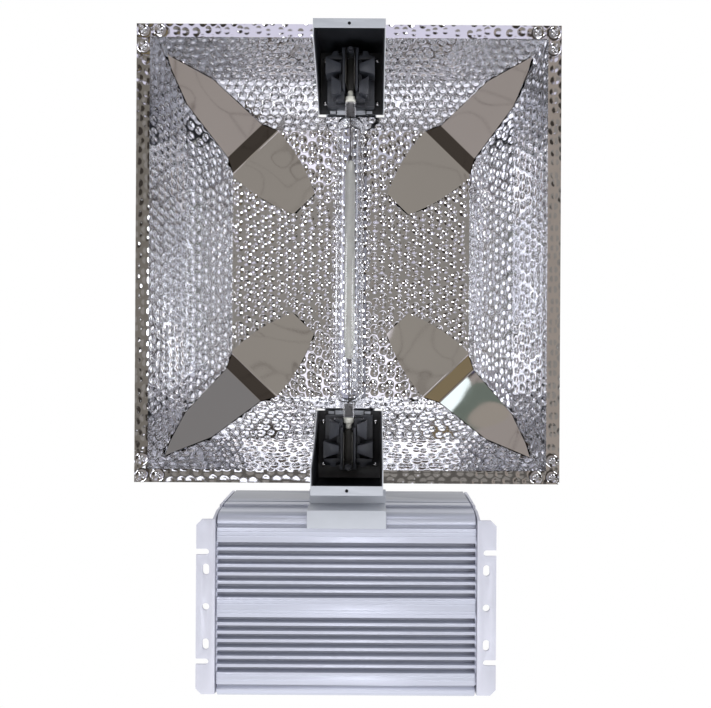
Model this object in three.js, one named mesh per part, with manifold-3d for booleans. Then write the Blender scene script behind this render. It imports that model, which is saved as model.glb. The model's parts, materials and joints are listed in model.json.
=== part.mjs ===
// Open grow-light fixture for one long double-ended lamp: a dimpled aluminium hood that
// opens downwards, a holder for each end of the lamp, and a finned ballast on the same spine.
// Millimetres, +Z up as it hangs. X runs across the lamp and Y along it, ballast at +Y.
// Inside the group, Y is measured from the hood's middle and Z from the plane of its rim.

import * as THREE from 'three'
import { mergeVertices } from 'three/addons/utils/BufferGeometryUtils.js'
import Module from 'manifold-3d'

const wasm = await Module()
wasm.setup()

// ---------------------------------------------------------------- driving dimensions

const GAP = 0.3 // between pieces that touch
const SHEET = 1 // folded sheet of the hood and the holder housings

// hood: half width of each fold line and its height; the half length is always longer
// by the same amount, so that the corner seams run at 45 degrees
const HOOD_LONGER = 18
const RIM_OUTER = 227.5
const RIM_INNER = 213
const FOLD = { half: 187, z: 52 }
const CROWN = { half: 144, z: 105 }
const RIDGE = { half: 19, drop: 7 } // shallow keel along the middle, under the lamp
const SEAM = 0.2 // half gap at each corner seam

// corner mirrors: leaves bent on a line across the corner of the crown
const MIRROR = {
  thick: 0.6, bendX: 117, bendY: 134.5, turnDeg: 46, halfWidth: 39,
  innerLength: 86.6, innerHalfEnd: 18.3, slopeDeg: 35.2, leafRadius: 298.4
}

// holder housings: folded boxes let into the two ends of the hood
const HOUSING = { half: 39, top: 90.1, innerY: 176.6, farY: 252, nearY: 258.6, lip: 10.2, lipHole: 3.6 }
const LINER = { thick: 0.8, face: 88, half: 37.4, notchHalf: 17, notchDepth: 6 }
const HOLDER = { half: 28, innerY: 181, outerY: 239, face: 52, slotHalf: 5.9, mouthHalf: 6.6, mouthEnd: 190 }
const WING = { face: 36, inner: [182, 204, 9.8, 21], outer: [206, 225, 10.2, 27.8] }
const CLIP = { innerY: 196, outerY: 237, half: 5.6, legThick: 1.5, face: 37 }

// lamp: quartz envelope with an arc tube on its axis and a ceramic cap at each end
const LAMP = {
  axisZ: 58, half: 194.3, envelopeHalf: 160, envelopeR: 13, shoulder: 8, wall: 1.2, pinchHalf: 181, pinchR: 5.85
}
const ARC_TUBE = { half: 120, r: 6.15, bodyHalf: 100, stemR: 2.2 }
const CAP = { wideEnd: 188, wideR: 5.9, tipR: 3.35 }
const LEAD_R = 0.8

// spine over the hood, and the neck and saddle that carry the ballast
const SPINE = { half: 30, top: 124, thick: 1.5, farY: -251, nearY: 276.4 }
const SADDLE = { half: 42.5, thick: 2, shelfZ: 33, lipY: 294 }
const NECK = { half: 34, wall: 2, bottom: 36, top: 86 }

// ballast: a finned extrusion along X between two end plates
const BALLAST_Y = 378
const SHELL = { half: 138.6, front: 2.5, back: 113, flat: 84, side: 101, shoulder: 20, ribR: 10, ribNotch: 3 }
const FIN = {
  first: 13.4, pitch: 8.93, count: 7, groove: 5.7, offset: 1.4, frontDepth: 8.5, backDepth: 12, backClear: 16
}
const CAVITY = { half: 93, front: 12.5, back: 97, cut: 12 }
const GASKET = { inner: 138.9, outer: 140.1 }
const END_PLATE = { inner: 140.4, outer: 143.3, inset: 0.4 }
const EAR = { reach: 160.5, half: 93.5, thick: 2.5, holeX: 150, slotY: 58.7, slotWidth: 6.4 }
const EAR_HOLES = { oblongY: 40, oblongWidth: 7, oblongLength: 12.1, roundR: 3.9 }
const PLATE_SCREW = { y: 88, z: [34, 92], headR: 4, headHeight: 2.4, shankR: 1.7, holeR: 2.2 }

// what the right end plate carries: sizes along Y and Z, place along Y from the ballast's middle
const INLET = {
  y: -56, z: 62, width: 34, height: 26, inset: 3, flange: 3, depth: 24, socket: [25, 17, 14], pinPitch: 7
}
const JACK = { y: [-14, 8], z: 60, width: 15, height: 13, depth: 14, socket: [11.6, 8, 10] }
const DIMMER = { y: 44, z: 62, knobR: 11, knobLength: 13, shaftR: 3, bodyHalf: 13, bodyLength: 12 }
const LENS = { y: 70, z: 62, r: 2.5, flangeR: 3.6 }

// electronics inside the ballast; each choke is [x, y, length, width, height]
const BOARD = { x: [-128, 98], halfY: 84, z: 22, thick: 1.6 }
const SPREADER = { x: [-110, 60], y: -76, thick: 5, height: 46 }
const BULK_CAPS = { x: [-70, -36, -2], y: 48, r: 15, height: 50 }
const CHOKES = {
  boost_choke: [-84, -20, 44, 40, 42], output_choke: [-24, -20, 44, 40, 42], filter_choke: [70, 20, 34, 30, 32]
}

// hangers: a wire bail in a lug on the spine and another on the ballast
const HANGER = {
  hoodY: 60, pivotZ: 136, wireR: 2, legX: 26, reach: 52, bendR: 4, footX: 14,
  earX: 20, earThick: 2, earFoot: 10, earTip: 5, holeR: 2.4
}
const LEAD = { r: 2, z: 112, x: 12, holeR: 4.5, dropY: 244, endZ: 76, entryZ: 90 }

const HALF_LENGTH = { far: HOUSING.farY, near: BALLAST_Y + SHELL.side }
const MIDDLE_Y = (HALF_LENGTH.near - HALF_LENGTH.far) / 2

// ---------------------------------------------------------------- finishes

const finish = (color, roughness, metalness) => ({ color, roughness, metalness })
const FINISHES = {
  hammered: finish(0xc9c9cb, 0.22, 1),
  mirror: finish(0xb9b4ae, 0.06, 1),
  housing: finish(0xc3c8d0, 0.45, 0.3),
  black_sheet: finish(0x15161a, 0.5, 0.1),
  holder: finish(0x2c2f36, 0.45, 0),
  contact: finish(0xa9a7a0, 0.3, 1),
  quartz: finish(0xdfe4e6, 0.05, 0),
  arc_ceramic: finish(0xb5b5ae, 0.6, 0),
  cap_ceramic: finish(0xd9d6cc, 0.6, 0),
  extrusion: finish(0xc3c5d2, 0.35, 0.9),
  plate: finish(0xcfd0da, 0.4, 0.6),
  gasket: finish(0x1b1b1b, 0.9, 0),
  screw: finish(0xb8babd, 0.3, 1),
  socket: finish(0x101114, 0.4, 0),
  knob: finish(0x17181b, 0.45, 0),
  lens: finish(0x4cc36a, 0.2, 0),
  board: finish(0x2f5b3a, 0.6, 0),
  winding: finish(0xa9642e, 0.5, 0.4),
  capacitor: finish(0x20242c, 0.4, 0),
  cable: finish(0xd8d8d2, 0.7, 0),
  wire: finish(0xa6a8ac, 0.35, 1)
}

// ---------------------------------------------------------------- geometry helpers

const box = (x, y, z) => new THREE.BoxGeometry(x[1] - x[0], y[1] - y[0], z[1] - z[0])
  .translate((x[0] + x[1]) / 2, (y[0] + y[1]) / 2, (z[0] + z[1]) / 2)

const shapeOf = (points) => new THREE.Shape(points.map(([x, y]) => new THREE.Vector2(x, y)))

function extrude (points, from, to) {
  const geometry = new THREE.ExtrudeGeometry(shapeOf(points), { depth: to - from, bevelEnabled: false })
  return geometry.translate(0, 0, from)
}

// an outline of [y, z] points swept along X, one of [x, z] points along Y, one of [x, y] up Z
const alongX = (points, from, to) => extrude(points, from, to).applyMatrix4(
  new THREE.Matrix4().set(0, 0, 1, 0, 1, 0, 0, 0, 0, 1, 0, 0, 0, 0, 0, 1))
const alongY = (points, from, to) => extrude(points.map(([x, z]) => [z, x]), from, to).applyMatrix4(
  new THREE.Matrix4().set(0, 1, 0, 0, 0, 0, 1, 0, 1, 0, 0, 0, 0, 0, 0, 1))
const upZ = extrude

function rod (axis, radius, from, to, sides = 16) {
  const geometry = new THREE.CylinderGeometry(radius, radius, to - from, sides)
  geometry.translate(0, (from + to) / 2, 0)
  if (axis === 'x') return geometry.rotateZ(-Math.PI / 2)
  if (axis === 'z') return geometry.rotateX(Math.PI / 2)
  return geometry
}

// a profile of [radius, y] points turned about the Y axis
const turned = (profile, sides = 24) =>
  new THREE.LatheGeometry(profile.map(([r, y]) => new THREE.Vector2(r, y)), sides)

function wireAlong (points, radius, bendRadius, steps) {
  const path = new THREE.CurvePath()
  let start = points[0]
  for (let i = 1; i < points.length - 1; i++) {
    const into = points[i].clone().sub(points[i - 1]).normalize()
    const out = points[i + 1].clone().sub(points[i]).normalize()
    const before = points[i].clone().addScaledVector(into, -bendRadius)
    const after = points[i].clone().addScaledVector(out, bendRadius)
    path.add(new THREE.LineCurve3(start, before))
    path.add(new THREE.QuadraticBezierCurve3(before, points[i], after))
    start = after
  }
  path.add(new THREE.LineCurve3(start, points[points.length - 1]))
  const section = new THREE.Shape().absarc(0, 0, radius, 0, 2 * Math.PI)
  return new THREE.ExtrudeGeometry(section, { steps, curveSegments: 4, extrudePath: path })
}

const solidOf = (geometry) => {
  const bare = geometry.clone()
  bare.deleteAttribute('normal')
  bare.deleteAttribute('uv')
  const welded = mergeVertices(bare, 1e-4)
  return new wasm.Manifold(new wasm.Mesh({
    numProp: 3,
    vertProperties: new Float32Array(welded.attributes.position.array),
    triVerts: new Uint32Array(welded.index.array)
  }))
}

function geometryOf (solid) {
  const { vertProperties, triVerts } = solid.getMesh()
  const geometry = new THREE.BufferGeometry()
  geometry.setAttribute('position', new THREE.BufferAttribute(new Float32Array(vertProperties), 3))
  geometry.setIndex(new THREE.BufferAttribute(new Uint32Array(triVerts), 1))
  return geometry
}

const join = (...geometries) => geometryOf(geometries.map(solidOf).reduce((all, one) => all.add(one)))
const cut = (base, ...tools) =>
  geometryOf(tools.map(solidOf).reduce((left, tool) => left.subtract(tool), solidOf(base)))
const overlap = (one, other) => geometryOf(solidOf(one).intersect(solidOf(other)))

// mirrored copies: the result is turned right side out again
function mirrored (geometry, axis) {
  const scale = { x: [-1, 1, 1], y: [1, -1, 1], z: [1, 1, -1] }[axis]
  const copy = geometryOf(solidOf(geometry))
  copy.scale(...scale)
  const index = copy.index.array
  for (let i = 0; i < index.length; i += 3) [index[i], index[i + 1]] = [index[i + 1], index[i]]
  return copy
}

// ---------------------------------------------------------------- scene graph

const fixture = new THREE.Group()
const hood = new THREE.Group()
hood.position.y = -MIDDLE_Y
const ballast = new THREE.Group()
ballast.position.y = BALLAST_Y
hood.add(ballast)
fixture.add(hood)

function add (group, name, geometry, finishName) {
  const mesh = new THREE.Mesh(geometry, new THREE.MeshStandardMaterial(FINISHES[finishName]))
  mesh.name = name
  group.add(mesh)
  return mesh
}

// ---------------------------------------------------------------- hood

// a closed stack of rectangular rings [halfX, halfY, z]
function ringStack (rings) {
  const points = []
  for (const [a, b, z] of rings) points.push([a, b, z], [-a, b, z], [-a, -b, z], [a, -b, z])
  const faces = [0, 3, 2, 0, 2, 1]
  const last = 4 * (rings.length - 1)
  faces.push(last, last + 1, last + 2, last, last + 2, last + 3)
  for (let ring = 0; ring < rings.length - 1; ring++) {
    for (let side = 0; side < 4; side++) {
      const low = 4 * ring + side
      const lowNext = 4 * ring + (side + 1) % 4
      faces.push(low, lowNext, lowNext + 4, low, lowNext + 4, low + 4)
    }
  }
  const geometry = new THREE.BufferGeometry()
  geometry.setAttribute('position', new THREE.BufferAttribute(new Float32Array(points.flat()), 3))
  geometry.setIndex(faces)
  return geometry
}

// the hood's section moved out by a thickness, as [half, z] points from rim to crown
function wallOffset (distance) {
  const low = Math.atan2(FOLD.z, RIM_INNER - FOLD.half)
  const high = Math.atan2(CROWN.z - FOLD.z, FOLD.half - CROWN.half)
  const middle = (low + high) / 2
  const mitre = distance / Math.cos((low - high) / 2)
  return [
    [RIM_INNER + distance * Math.tan(low / 2), distance],
    [FOLD.half + mitre * Math.sin(middle), FOLD.z + mitre * Math.cos(middle)],
    [CROWN.half + distance * Math.tan(high / 2), CROWN.z + distance]
  ]
}

const ringsOf = (section) => section.map(([half, z]) => [half, half + HOOD_LONGER, z])
const wallInside = [[RIM_INNER, 0], [FOLD.half, FOLD.z], [CROWN.half, CROWN.z]]

function hoodShell () {
  const outside = wallOffset(SHEET)
  const flange = [[RIM_OUTER, 0], [RIM_OUTER, SHEET]]
  const wall = [[outside[0][0], SHEET / 2], ...outside]
  const solid = join(ringStack(ringsOf(flange)), ringStack(ringsOf(wall)))
  const below = [RIM_INNER + (RIM_INNER - FOLD.half) / FOLD.z, -1]
  return cut(solid, ringStack(ringsOf([below, ...wallInside])))
}

const FAR_OFF = 400
const shell = hoodShell()

// everything on the +X side of both corner seams, and the +X half of the crown
function sideClip () {
  const near = FAR_OFF + HOOD_LONGER - SEAM
  const wedge = upZ([[-HOOD_LONGER + SEAM, 0], [FAR_OFF, -near], [FAR_OFF, near]], -1, CROWN.z + SHEET + 1)
  const crown = box([0, FAR_OFF], [-FAR_OFF, FAR_OFF], [CROWN.z - SEAM / 2, CROWN.z + SHEET + 1])
  return overlap(join(wedge, crown), box([RIDGE.half + SEAM, FAR_OFF], [-FAR_OFF, FAR_OFF], [-1, CROWN.z + 5]))
}

function endClip () {
  const start = HOOD_LONGER + SEAM
  const wide = [[FAR_OFF, FAR_OFF + start], [-FAR_OFF, FAR_OFF + start], [-RIDGE.half, RIDGE.half + start],
    [RIDGE.half, RIDGE.half + start]]
  const notch = box([-HOUSING.half - GAP, HOUSING.half + GAP], [HOUSING.innerY - GAP, FAR_OFF],
    [-2, HOUSING.top + GAP])
  return cut(upZ(wide, -1, CROWN.z - 2 * SEAM), notch)
}

const sidePanel = overlap(shell, sideClip())
const endPanel = overlap(shell, endClip())
add(hood, 'reflector_side_right', sidePanel, 'hammered')
add(hood, 'reflector_side_left', mirrored(sidePanel, 'x'), 'hammered')
add(hood, 'reflector_end_near', endPanel, 'hammered')
add(hood, 'reflector_end_far', mirrored(endPanel, 'y'), 'hammered')

const ridgeHalf = RIDGE.half - GAP
const ridgeLow = CROWN.z - RIDGE.drop
add(hood, 'reflector_keel', alongY([[-ridgeHalf, CROWN.z], [0, ridgeLow], [ridgeHalf, CROWN.z],
  [ridgeHalf, CROWN.z + SHEET], [0, ridgeLow + SHEET], [-ridgeHalf, CROWN.z + SHEET]],
-CROWN.half - HOOD_LONGER + GAP, CROWN.half + HOOD_LONGER - GAP), 'hammered')

// ---------------------------------------------------------------- corner mirrors

// points of an edge that bows outwards as an arc, from one half width to another
function bowedEdge (from, to, halfFrom, halfTo, radius, count = 8) {
  const points = []
  const length = to - from
  for (let i = 0; i <= count; i++) {
    const t = i / count
    const sag = (Math.abs(length) ** 2) * t * (1 - t) / (2 * radius)
    points.push([from + length * t, halfFrom + (halfTo - halfFrom) * t + sag])
  }
  return points
}

const bothEdges = (edge) => [...edge, ...edge.slice().reverse().map(([u, v]) => [u, -v])]

function cornerMirror () {
  const slope = THREE.MathUtils.degToRad(MIRROR.slopeDeg)
  const turn = THREE.MathUtils.degToRad(MIRROR.turnDeg)
  const arcRise = (u) => MIRROR.leafRadius - Math.sqrt(MIRROR.leafRadius ** 2 - u ** 2)
  const leafLength = Math.sqrt(MIRROR.leafRadius ** 2 - (MIRROR.leafRadius - MIRROR.halfWidth) ** 2)
  const leafEdge = Array.from({ length: 13 }, (_, i) => i / 12 * leafLength)
    .map((u) => [u, Math.max(MIRROR.halfWidth - arcRise(u), 0.2)])
  const innerEdge = bowedEdge(-MIRROR.innerLength, 0, MIRROR.innerHalfEnd, MIRROR.halfWidth, 191)
  const top = CROWN.z - GAP
  const flat = upZ(bothEdges(innerEdge), -MIRROR.thick, 0)
  const leaf = upZ(bothEdges(leafEdge), -MIRROR.thick, 0).rotateY(slope)
  const blade = join(flat, leaf).rotateZ(turn).translate(MIRROR.bendX, MIRROR.bendY, top)
  const room = ringsOf(wallInside.map(([half, z]) => [half - 2 * GAP, z]))
  return overlap(blade, ringStack(room))
}

const mirrorNearRight = cornerMirror()
const mirrorNearLeft = mirrored(mirrorNearRight, 'x')
add(hood, 'corner_mirror_near_right', mirrorNearRight, 'mirror')
add(hood, 'corner_mirror_near_left', mirrorNearLeft, 'mirror')
add(hood, 'corner_mirror_far_right', mirrored(mirrorNearRight, 'y'), 'mirror')
add(hood, 'corner_mirror_far_left', mirrored(mirrorNearLeft, 'y'), 'mirror')

// ---------------------------------------------------------------- holder housings

// height of the end wall's visible face at a distance from the hood's middle
const endWallZ = (y) => FOLD.z + (FOLD.half + HOOD_LONGER - y) * (CROWN.z - FOLD.z) / (FOLD.half - CROWN.half)

// the housing's side view as [y, z], between an outer end and the slope of the end wall
const sideView = (outerY, top, bottom) => [
  [outerY, bottom], [outerY, top], [HOUSING.innerY, top], [HOUSING.innerY, endWallZ(HOUSING.innerY)],
  [FOLD.half + HOOD_LONGER, FOLD.z], [RIM_INNER + HOOD_LONGER, bottom]
]

function housing (outerY) {
  const inner = HOUSING.half - SHEET
  const body = alongX(sideView(outerY, HOUSING.top, 0), -HOUSING.half, HOUSING.half)
  const room = box([-inner, inner], [HOUSING.innerY - 5, outerY - SHEET], [-5, HOUSING.top - SHEET])
  const lip = box([-inner - SHEET / 2, inner + SHEET / 2], [outerY - HOUSING.lip, outerY], [0, SHEET])
  const hole = rod('z', HOUSING.lipHole / 2, -1, SHEET + 1).translate(0, outerY - HOUSING.lip / 2, 0)
  const leadHole = rod('z', LEAD.holeR, HOUSING.top - 5, HOUSING.top + 5).translate(0, LEAD.dropY, 0)
  return cut(join(cut(body, room), lip), hole, leadHole)
}

function liner (outerY) {
  const inner = LINER.half - LINER.thick
  const end = outerY - SHEET - GAP
  const outline = sideView(end, LINER.face + LINER.thick, HOUSING.lip / 4)
  const notch = box([-LINER.notchHalf, LINER.notchHalf], [HOUSING.innerY - 5, HOUSING.innerY + LINER.notchDepth],
    [LINER.face - 1, LINER.face + 2])
  const room = box([-inner, inner], [HOUSING.innerY - 5, end - LINER.thick], [-5, LINER.face])
  const leadHole = rod('z', LEAD.holeR, LINER.face - 5, LINER.face + 5).translate(0, LEAD.dropY, 0)
  return cut(alongX(outline, -LINER.half, LINER.half), room, notch, leadHole)
}

// one end's lampholder: a slotted block with two pairs of guide wings
function lampholder () {
  const back = LINER.face - GAP
  const block = box([-HOLDER.half, HOLDER.half], [HOLDER.innerY, HOLDER.outerY], [HOLDER.face, back])
  const wing = ([innerY, outerY, innerX, outerX]) => {
    const front = alongY([[innerX, HOLDER.face + 1], [innerX, WING.face + 6], [outerX, WING.face],
      [outerX, HOLDER.face + 1]], innerY, outerY)
    return [front, mirrored(front, 'x')]
  }
  const slot = box([-HOLDER.slotHalf, HOLDER.slotHalf], [HOLDER.innerY - 1, HOLDER.outerY - 2],
    [WING.face - 1, LAMP.axisZ + 9])
  const mouth = box([-HOLDER.mouthHalf, HOLDER.mouthHalf], [HOLDER.innerY - 1, HOLDER.mouthEnd],
    [WING.face - 1, LAMP.axisZ + 9])
  const step = box([-HOLDER.half - 1, HOLDER.half + 1], [HOLDER.outerY - 10, HOLDER.outerY + 1],
    [HOLDER.face - 1, HOLDER.face + 12])
  const stepKeep = box([-10, 10], [HOLDER.outerY - 11, HOLDER.outerY + 2], [HOLDER.face - 2, HOLDER.face + 13])
  const body = cut(block, cut(step, stepKeep))
  return cut(join(body, ...wing(WING.inner), ...wing(WING.outer)), slot, mouth)
}

// spring contact: a channel whose two legs line the slot
function contactClip () {
  const inner = CLIP.half - CLIP.legThick
  const base = LAMP.axisZ + 8
  return alongY([[-CLIP.half, CLIP.face], [-CLIP.half, base], [CLIP.half, base], [CLIP.half, CLIP.face],
    [inner, CLIP.face], [inner, base - CLIP.legThick], [-inner, base - CLIP.legThick], [-inner, CLIP.face]],
  CLIP.innerY, CLIP.outerY - GAP)
}

const holderNear = lampholder()
const clipNear = contactClip()
const atFarEnd = (geometry) => mirrored(geometry, 'y')
add(hood, 'holder_housing_near', housing(HOUSING.nearY), 'housing')
add(hood, 'holder_housing_far', atFarEnd(housing(HOUSING.farY)), 'housing')
add(hood, 'holder_liner_near', liner(HOUSING.nearY), 'black_sheet')
add(hood, 'holder_liner_far', atFarEnd(liner(HOUSING.farY)), 'black_sheet')
add(hood, 'lampholder_near', holderNear, 'holder')
add(hood, 'lampholder_far', atFarEnd(holderNear), 'holder')
add(hood, 'contact_clip_near', clipNear, 'contact')
add(hood, 'contact_clip_far', atFarEnd(clipNear), 'contact')

// ---------------------------------------------------------------- lamp

const lamp = new THREE.Group()
lamp.position.z = LAMP.axisZ
hood.add(lamp)

// the envelope is a tube with necks that stay open round the lead wires
function envelope () {
  const bore = LEAD_R + GAP
  const shoulder = LAMP.envelopeHalf - LAMP.shoulder
  const half = [
    [LAMP.envelopeR, 0], [LAMP.envelopeR, shoulder], [LAMP.envelopeR - 3, shoulder + 6],
    [LAMP.pinchR, LAMP.envelopeHalf + 4], [LAMP.pinchR, LAMP.pinchHalf - GAP], [bore, LAMP.pinchHalf - GAP],
    [bore, LAMP.envelopeHalf], [LAMP.envelopeR - LAMP.wall, shoulder], [LAMP.envelopeR - LAMP.wall, 0]
  ]
  const other = half.slice(1, -1).reverse().map(([r, y]) => [r, -y])
  return turned([...half, ...other, half[0]])
}

const leadWire = rod('y', LEAD_R, ARC_TUBE.half + GAP, LAMP.pinchHalf, 8)
const cap = turned([[0, LAMP.pinchHalf + GAP], [CAP.wideR, LAMP.pinchHalf + GAP], [CAP.wideR, CAP.wideEnd],
  [CAP.tipR, CAP.wideEnd], [CAP.tipR, LAMP.half - 1], [CAP.tipR - 1, LAMP.half], [0, LAMP.half]], 16)
const arcTubeHalf = [[ARC_TUBE.r, ARC_TUBE.bodyHalf], [ARC_TUBE.stemR, ARC_TUBE.bodyHalf + 1],
  [ARC_TUBE.stemR, ARC_TUBE.half], [0, ARC_TUBE.half]]
const arcTube = turned([...arcTubeHalf.slice().reverse().map(([r, y]) => [r, -y]), ...arcTubeHalf], 16)
add(lamp, 'lamp_envelope', envelope(), 'quartz')
add(lamp, 'arc_tube', arcTube, 'arc_ceramic')
add(lamp, 'lamp_lead_near', leadWire, 'wire')
add(lamp, 'lamp_lead_far', atFarEnd(leadWire), 'wire')
add(lamp, 'lamp_cap_near', cap, 'cap_ceramic')
add(lamp, 'lamp_cap_far', atFarEnd(cap), 'cap_ceramic')

// ---------------------------------------------------------------- spine, neck and saddle

function spine () {
  const overHood = CROWN.z + SHEET + GAP
  const overHousing = HOUSING.top + GAP
  const slopeOuter = HOUSING.innerY + 0.5
  const slopeInner = CROWN.half + HOOD_LONGER + 2.2
  const side = [
    [SPINE.farY, overHousing], [-slopeOuter, overHousing], [-slopeInner, overHood], [slopeInner, overHood],
    [slopeOuter, overHousing], [SPINE.nearY, overHousing], [SPINE.nearY, SPINE.top], [SPINE.farY, SPINE.top]
  ]
  const inner = SPINE.half - SPINE.thick
  const room = box([-inner, inner], [SPINE.farY + SPINE.thick, SPINE.nearY - SPINE.thick],
    [overHousing - 5, SPINE.top - SPINE.thick])
  const exit = box([-LEAD.x - 6, LEAD.x + 6], [SPINE.nearY - 5, SPINE.nearY + 5],
    [overHousing - 5, LEAD.entryZ + LEAD.holeR])
  return cut(alongX(side, -SPINE.half, SPINE.half), room, exit)
}

function neck () {
  const from = HOUSING.nearY + GAP
  const to = SPINE.nearY - SADDLE.thick - GAP
  const room = box([-NECK.half + NECK.wall, NECK.half - NECK.wall], [from - 1, to + 1],
    [NECK.bottom + NECK.wall, NECK.top - NECK.wall])
  return cut(box([-NECK.half, NECK.half], [from, to], [NECK.bottom, NECK.top]), room)
}

function saddle () {
  const start = HOUSING.nearY + GAP
  const wall = SPINE.nearY
  const shelf = SADDLE.shelfZ
  const thick = SADDLE.thick
  return alongX([[start, shelf], [wall - thick, shelf], [wall - thick, 0], [SADDLE.lipY, 0], [SADDLE.lipY, thick],
    [wall, thick], [wall, shelf + thick], [start, shelf + thick]], -SADDLE.half, SADDLE.half)
}

add(hood, 'spine', spine(), 'housing')
add(hood, 'neck', neck(), 'housing')
add(hood, 'ballast_saddle', saddle(), 'housing')

// ---------------------------------------------------------------- ballast body

// one groove's four corners, cut from a face at z towards the inside
function groove (y, face, depth) {
  const half = FIN.groove / 2
  return [[y - half, face], [y - half, face + depth], [y + half, face + depth], [y + half, face]]
}

// the stepped side from its shoulder to the back face, moved in by a distance, as [y, z] points
const sideSteps = (inset) => [
  [SHELL.side - 2, SHELL.shoulder], [SHELL.side - 2, 33], [SHELL.side - 3.5, 34], [SHELL.side - 3.5, 36],
  [SHELL.side, 37], [SHELL.side, 50], [SHELL.side - 2, 51], [SHELL.side - 2, 53], [SHELL.side, 54],
  [SHELL.side, 110], [SHELL.side - 3, SHELL.back]
].map(([y, z]) => [y - inset, Math.min(z, SHELL.back - inset)])

// one side of the outline, from the middle of the front face to the middle of the back
function halfOutline (offset) {
  const { front, back, flat, ribR, ribNotch } = SHELL
  const half = []
  for (let k = 0; k < FIN.count; k++) {
    half.push(...groove(FIN.first + k * FIN.pitch + offset, front, FIN.frontDepth))
  }
  half.push([flat, front], [flat, front + ribNotch], [flat + ribNotch, front + ribNotch])
  for (let i = 0; i <= 4; i++) {
    const angle = i / 4 * Math.PI / 2
    half.push([SHELL.side - 2 - ribR * (1 - Math.sin(angle)), front + ribR * (1 - Math.cos(angle))])
  }
  half.push(...sideSteps(0))
  for (let k = FIN.count - 1; k >= 0; k--) {
    const y = FIN.first + k * FIN.pitch + offset
    if (y >= FIN.backClear) half.push(...groove(y, back, -FIN.backDepth).reverse())
  }
  return half
}

// the grooves of both sides sit a little towards +Y
const shellOutline = () => [
  ...halfOutline(FIN.offset), ...halfOutline(-FIN.offset).reverse().map(([y, z]) => [-y, z])
]

function cavity (from, to) {
  const { half, front, back, cut: corner } = CAVITY
  return alongX([[-half + corner, front], [half - corner, front], [half, front + corner], [half, back],
    [-half, back], [-half, front + corner]], from, to)
}

function ballastShell () {
  const room = cavity(-SHELL.half - 1, SHELL.half + 1)
  const leadEntry = rod('y', LEAD.holeR, -SHELL.side - 5, -CAVITY.half + 5)
  const entries = [LEAD.x, -LEAD.x].map((x) => leadEntry.clone().translate(x, 0, LEAD.entryZ))
  return cut(alongX(shellOutline(), -SHELL.half, SHELL.half), room, ...entries)
}

const plateSide = [[EAR.half, 0], ...sideSteps(END_PLATE.inset)]
const plateOutline = [...plateSide, ...plateSide.slice().reverse().map(([y, z]) => [-y, z])]

const screwPlaces = PLATE_SCREW.z.flatMap((z) => [[-PLATE_SCREW.y, z], [PLATE_SCREW.y, z]])
const screwHoles = (radius) => screwPlaces.map(([y, z]) =>
  rod('x', radius, GASKET.inner - 5, END_PLATE.outer + 5, 12).translate(0, y, z))

// the end plate with its ear folded out along the front edge
function endPlate () {
  const plate = alongX(plateOutline, END_PLATE.inner, END_PLATE.outer)
  const corner = 6
  const ear = upZ([[END_PLATE.inner, -EAR.half], [EAR.reach - corner, -EAR.half], [EAR.reach, -EAR.half + corner],
    [EAR.reach, EAR.half - corner], [EAR.reach - corner, EAR.half], [END_PLATE.inner, EAR.half]], 0, EAR.thick)
  const holes = [rod('z', EAR_HOLES.roundR, -1, 5).translate(EAR.holeX, 0, 0)]
  for (const side of [-1, 1]) {
    const slotY = side * EAR.slotY
    const halfSlot = EAR.slotWidth / 2
    holes.push(rod('z', halfSlot, -1, 5).translate(EAR.holeX, slotY, 0))
    holes.push(box([EAR.holeX, EAR.reach + 1], [slotY - halfSlot, slotY + halfSlot], [-1, 5]))
    const run = (EAR_HOLES.oblongLength - EAR_HOLES.oblongWidth) / 2
    const halfWidth = EAR_HOLES.oblongWidth / 2
    const middle = side * EAR_HOLES.oblongY
    holes.push(box([EAR.holeX - halfWidth, EAR.holeX + halfWidth], [middle - run, middle + run], [-1, 5]))
    holes.push(rod('z', halfWidth, -1, 5).translate(EAR.holeX, middle - run, 0))
    holes.push(rod('z', halfWidth, -1, 5).translate(EAR.holeX, middle + run, 0))
  }
  return cut(join(plate, ear), ...holes, ...screwHoles(PLATE_SCREW.holeR))
}

function gasket () {
  const edge = 3
  const room = cavity(GASKET.inner - 1, GASKET.outer + 1)
  const outline = [[-SHELL.flat, SHELL.front + edge], [SHELL.flat, SHELL.front + edge],
    [SHELL.side - edge, SHELL.shoulder + edge], [SHELL.side - edge, 97], [SHELL.flat, 99], [-SHELL.flat, 99],
    [-SHELL.side + edge, 97], [-SHELL.side + edge, SHELL.shoulder + edge]]
  return cut(alongX(outline, GASKET.inner, GASKET.outer), room, ...screwHoles(PLATE_SCREW.holeR))
}

// the right plate's window for a piece: width along Y, height along Z
const windowAt = (y, z, width, height) => box([END_PLATE.inner - 1, END_PLATE.outer + 1],
  [y - width / 2 - GAP, y + width / 2 + GAP], [z - height / 2 - GAP, z + height / 2 + GAP])

function controlPlate (plate) {
  const windows = [windowAt(INLET.y, INLET.z, INLET.width - 2 * INLET.inset, INLET.height - 2 * INLET.inset)]
  for (const y of JACK.y) windows.push(windowAt(y, JACK.z, JACK.width, JACK.height))
  const round = [[DIMMER, DIMMER.shaftR], [LENS, LENS.r]]
  for (const [place, radius] of round) {
    windows.push(rod('x', radius + GAP, END_PLATE.inner - 1, END_PLATE.outer + 1).translate(0, place.y, place.z))
  }
  return cut(plate, ...windows)
}

const plate = endPlate()
const seal = gasket()
add(ballast, 'ballast_shell', ballastShell(), 'extrusion')
add(ballast, 'end_plate_right', controlPlate(plate), 'plate')
add(ballast, 'end_plate_left', mirrored(plate, 'x'), 'plate')
add(ballast, 'gasket_right', seal, 'gasket')
add(ballast, 'gasket_left', mirrored(seal, 'x'), 'gasket')

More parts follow.
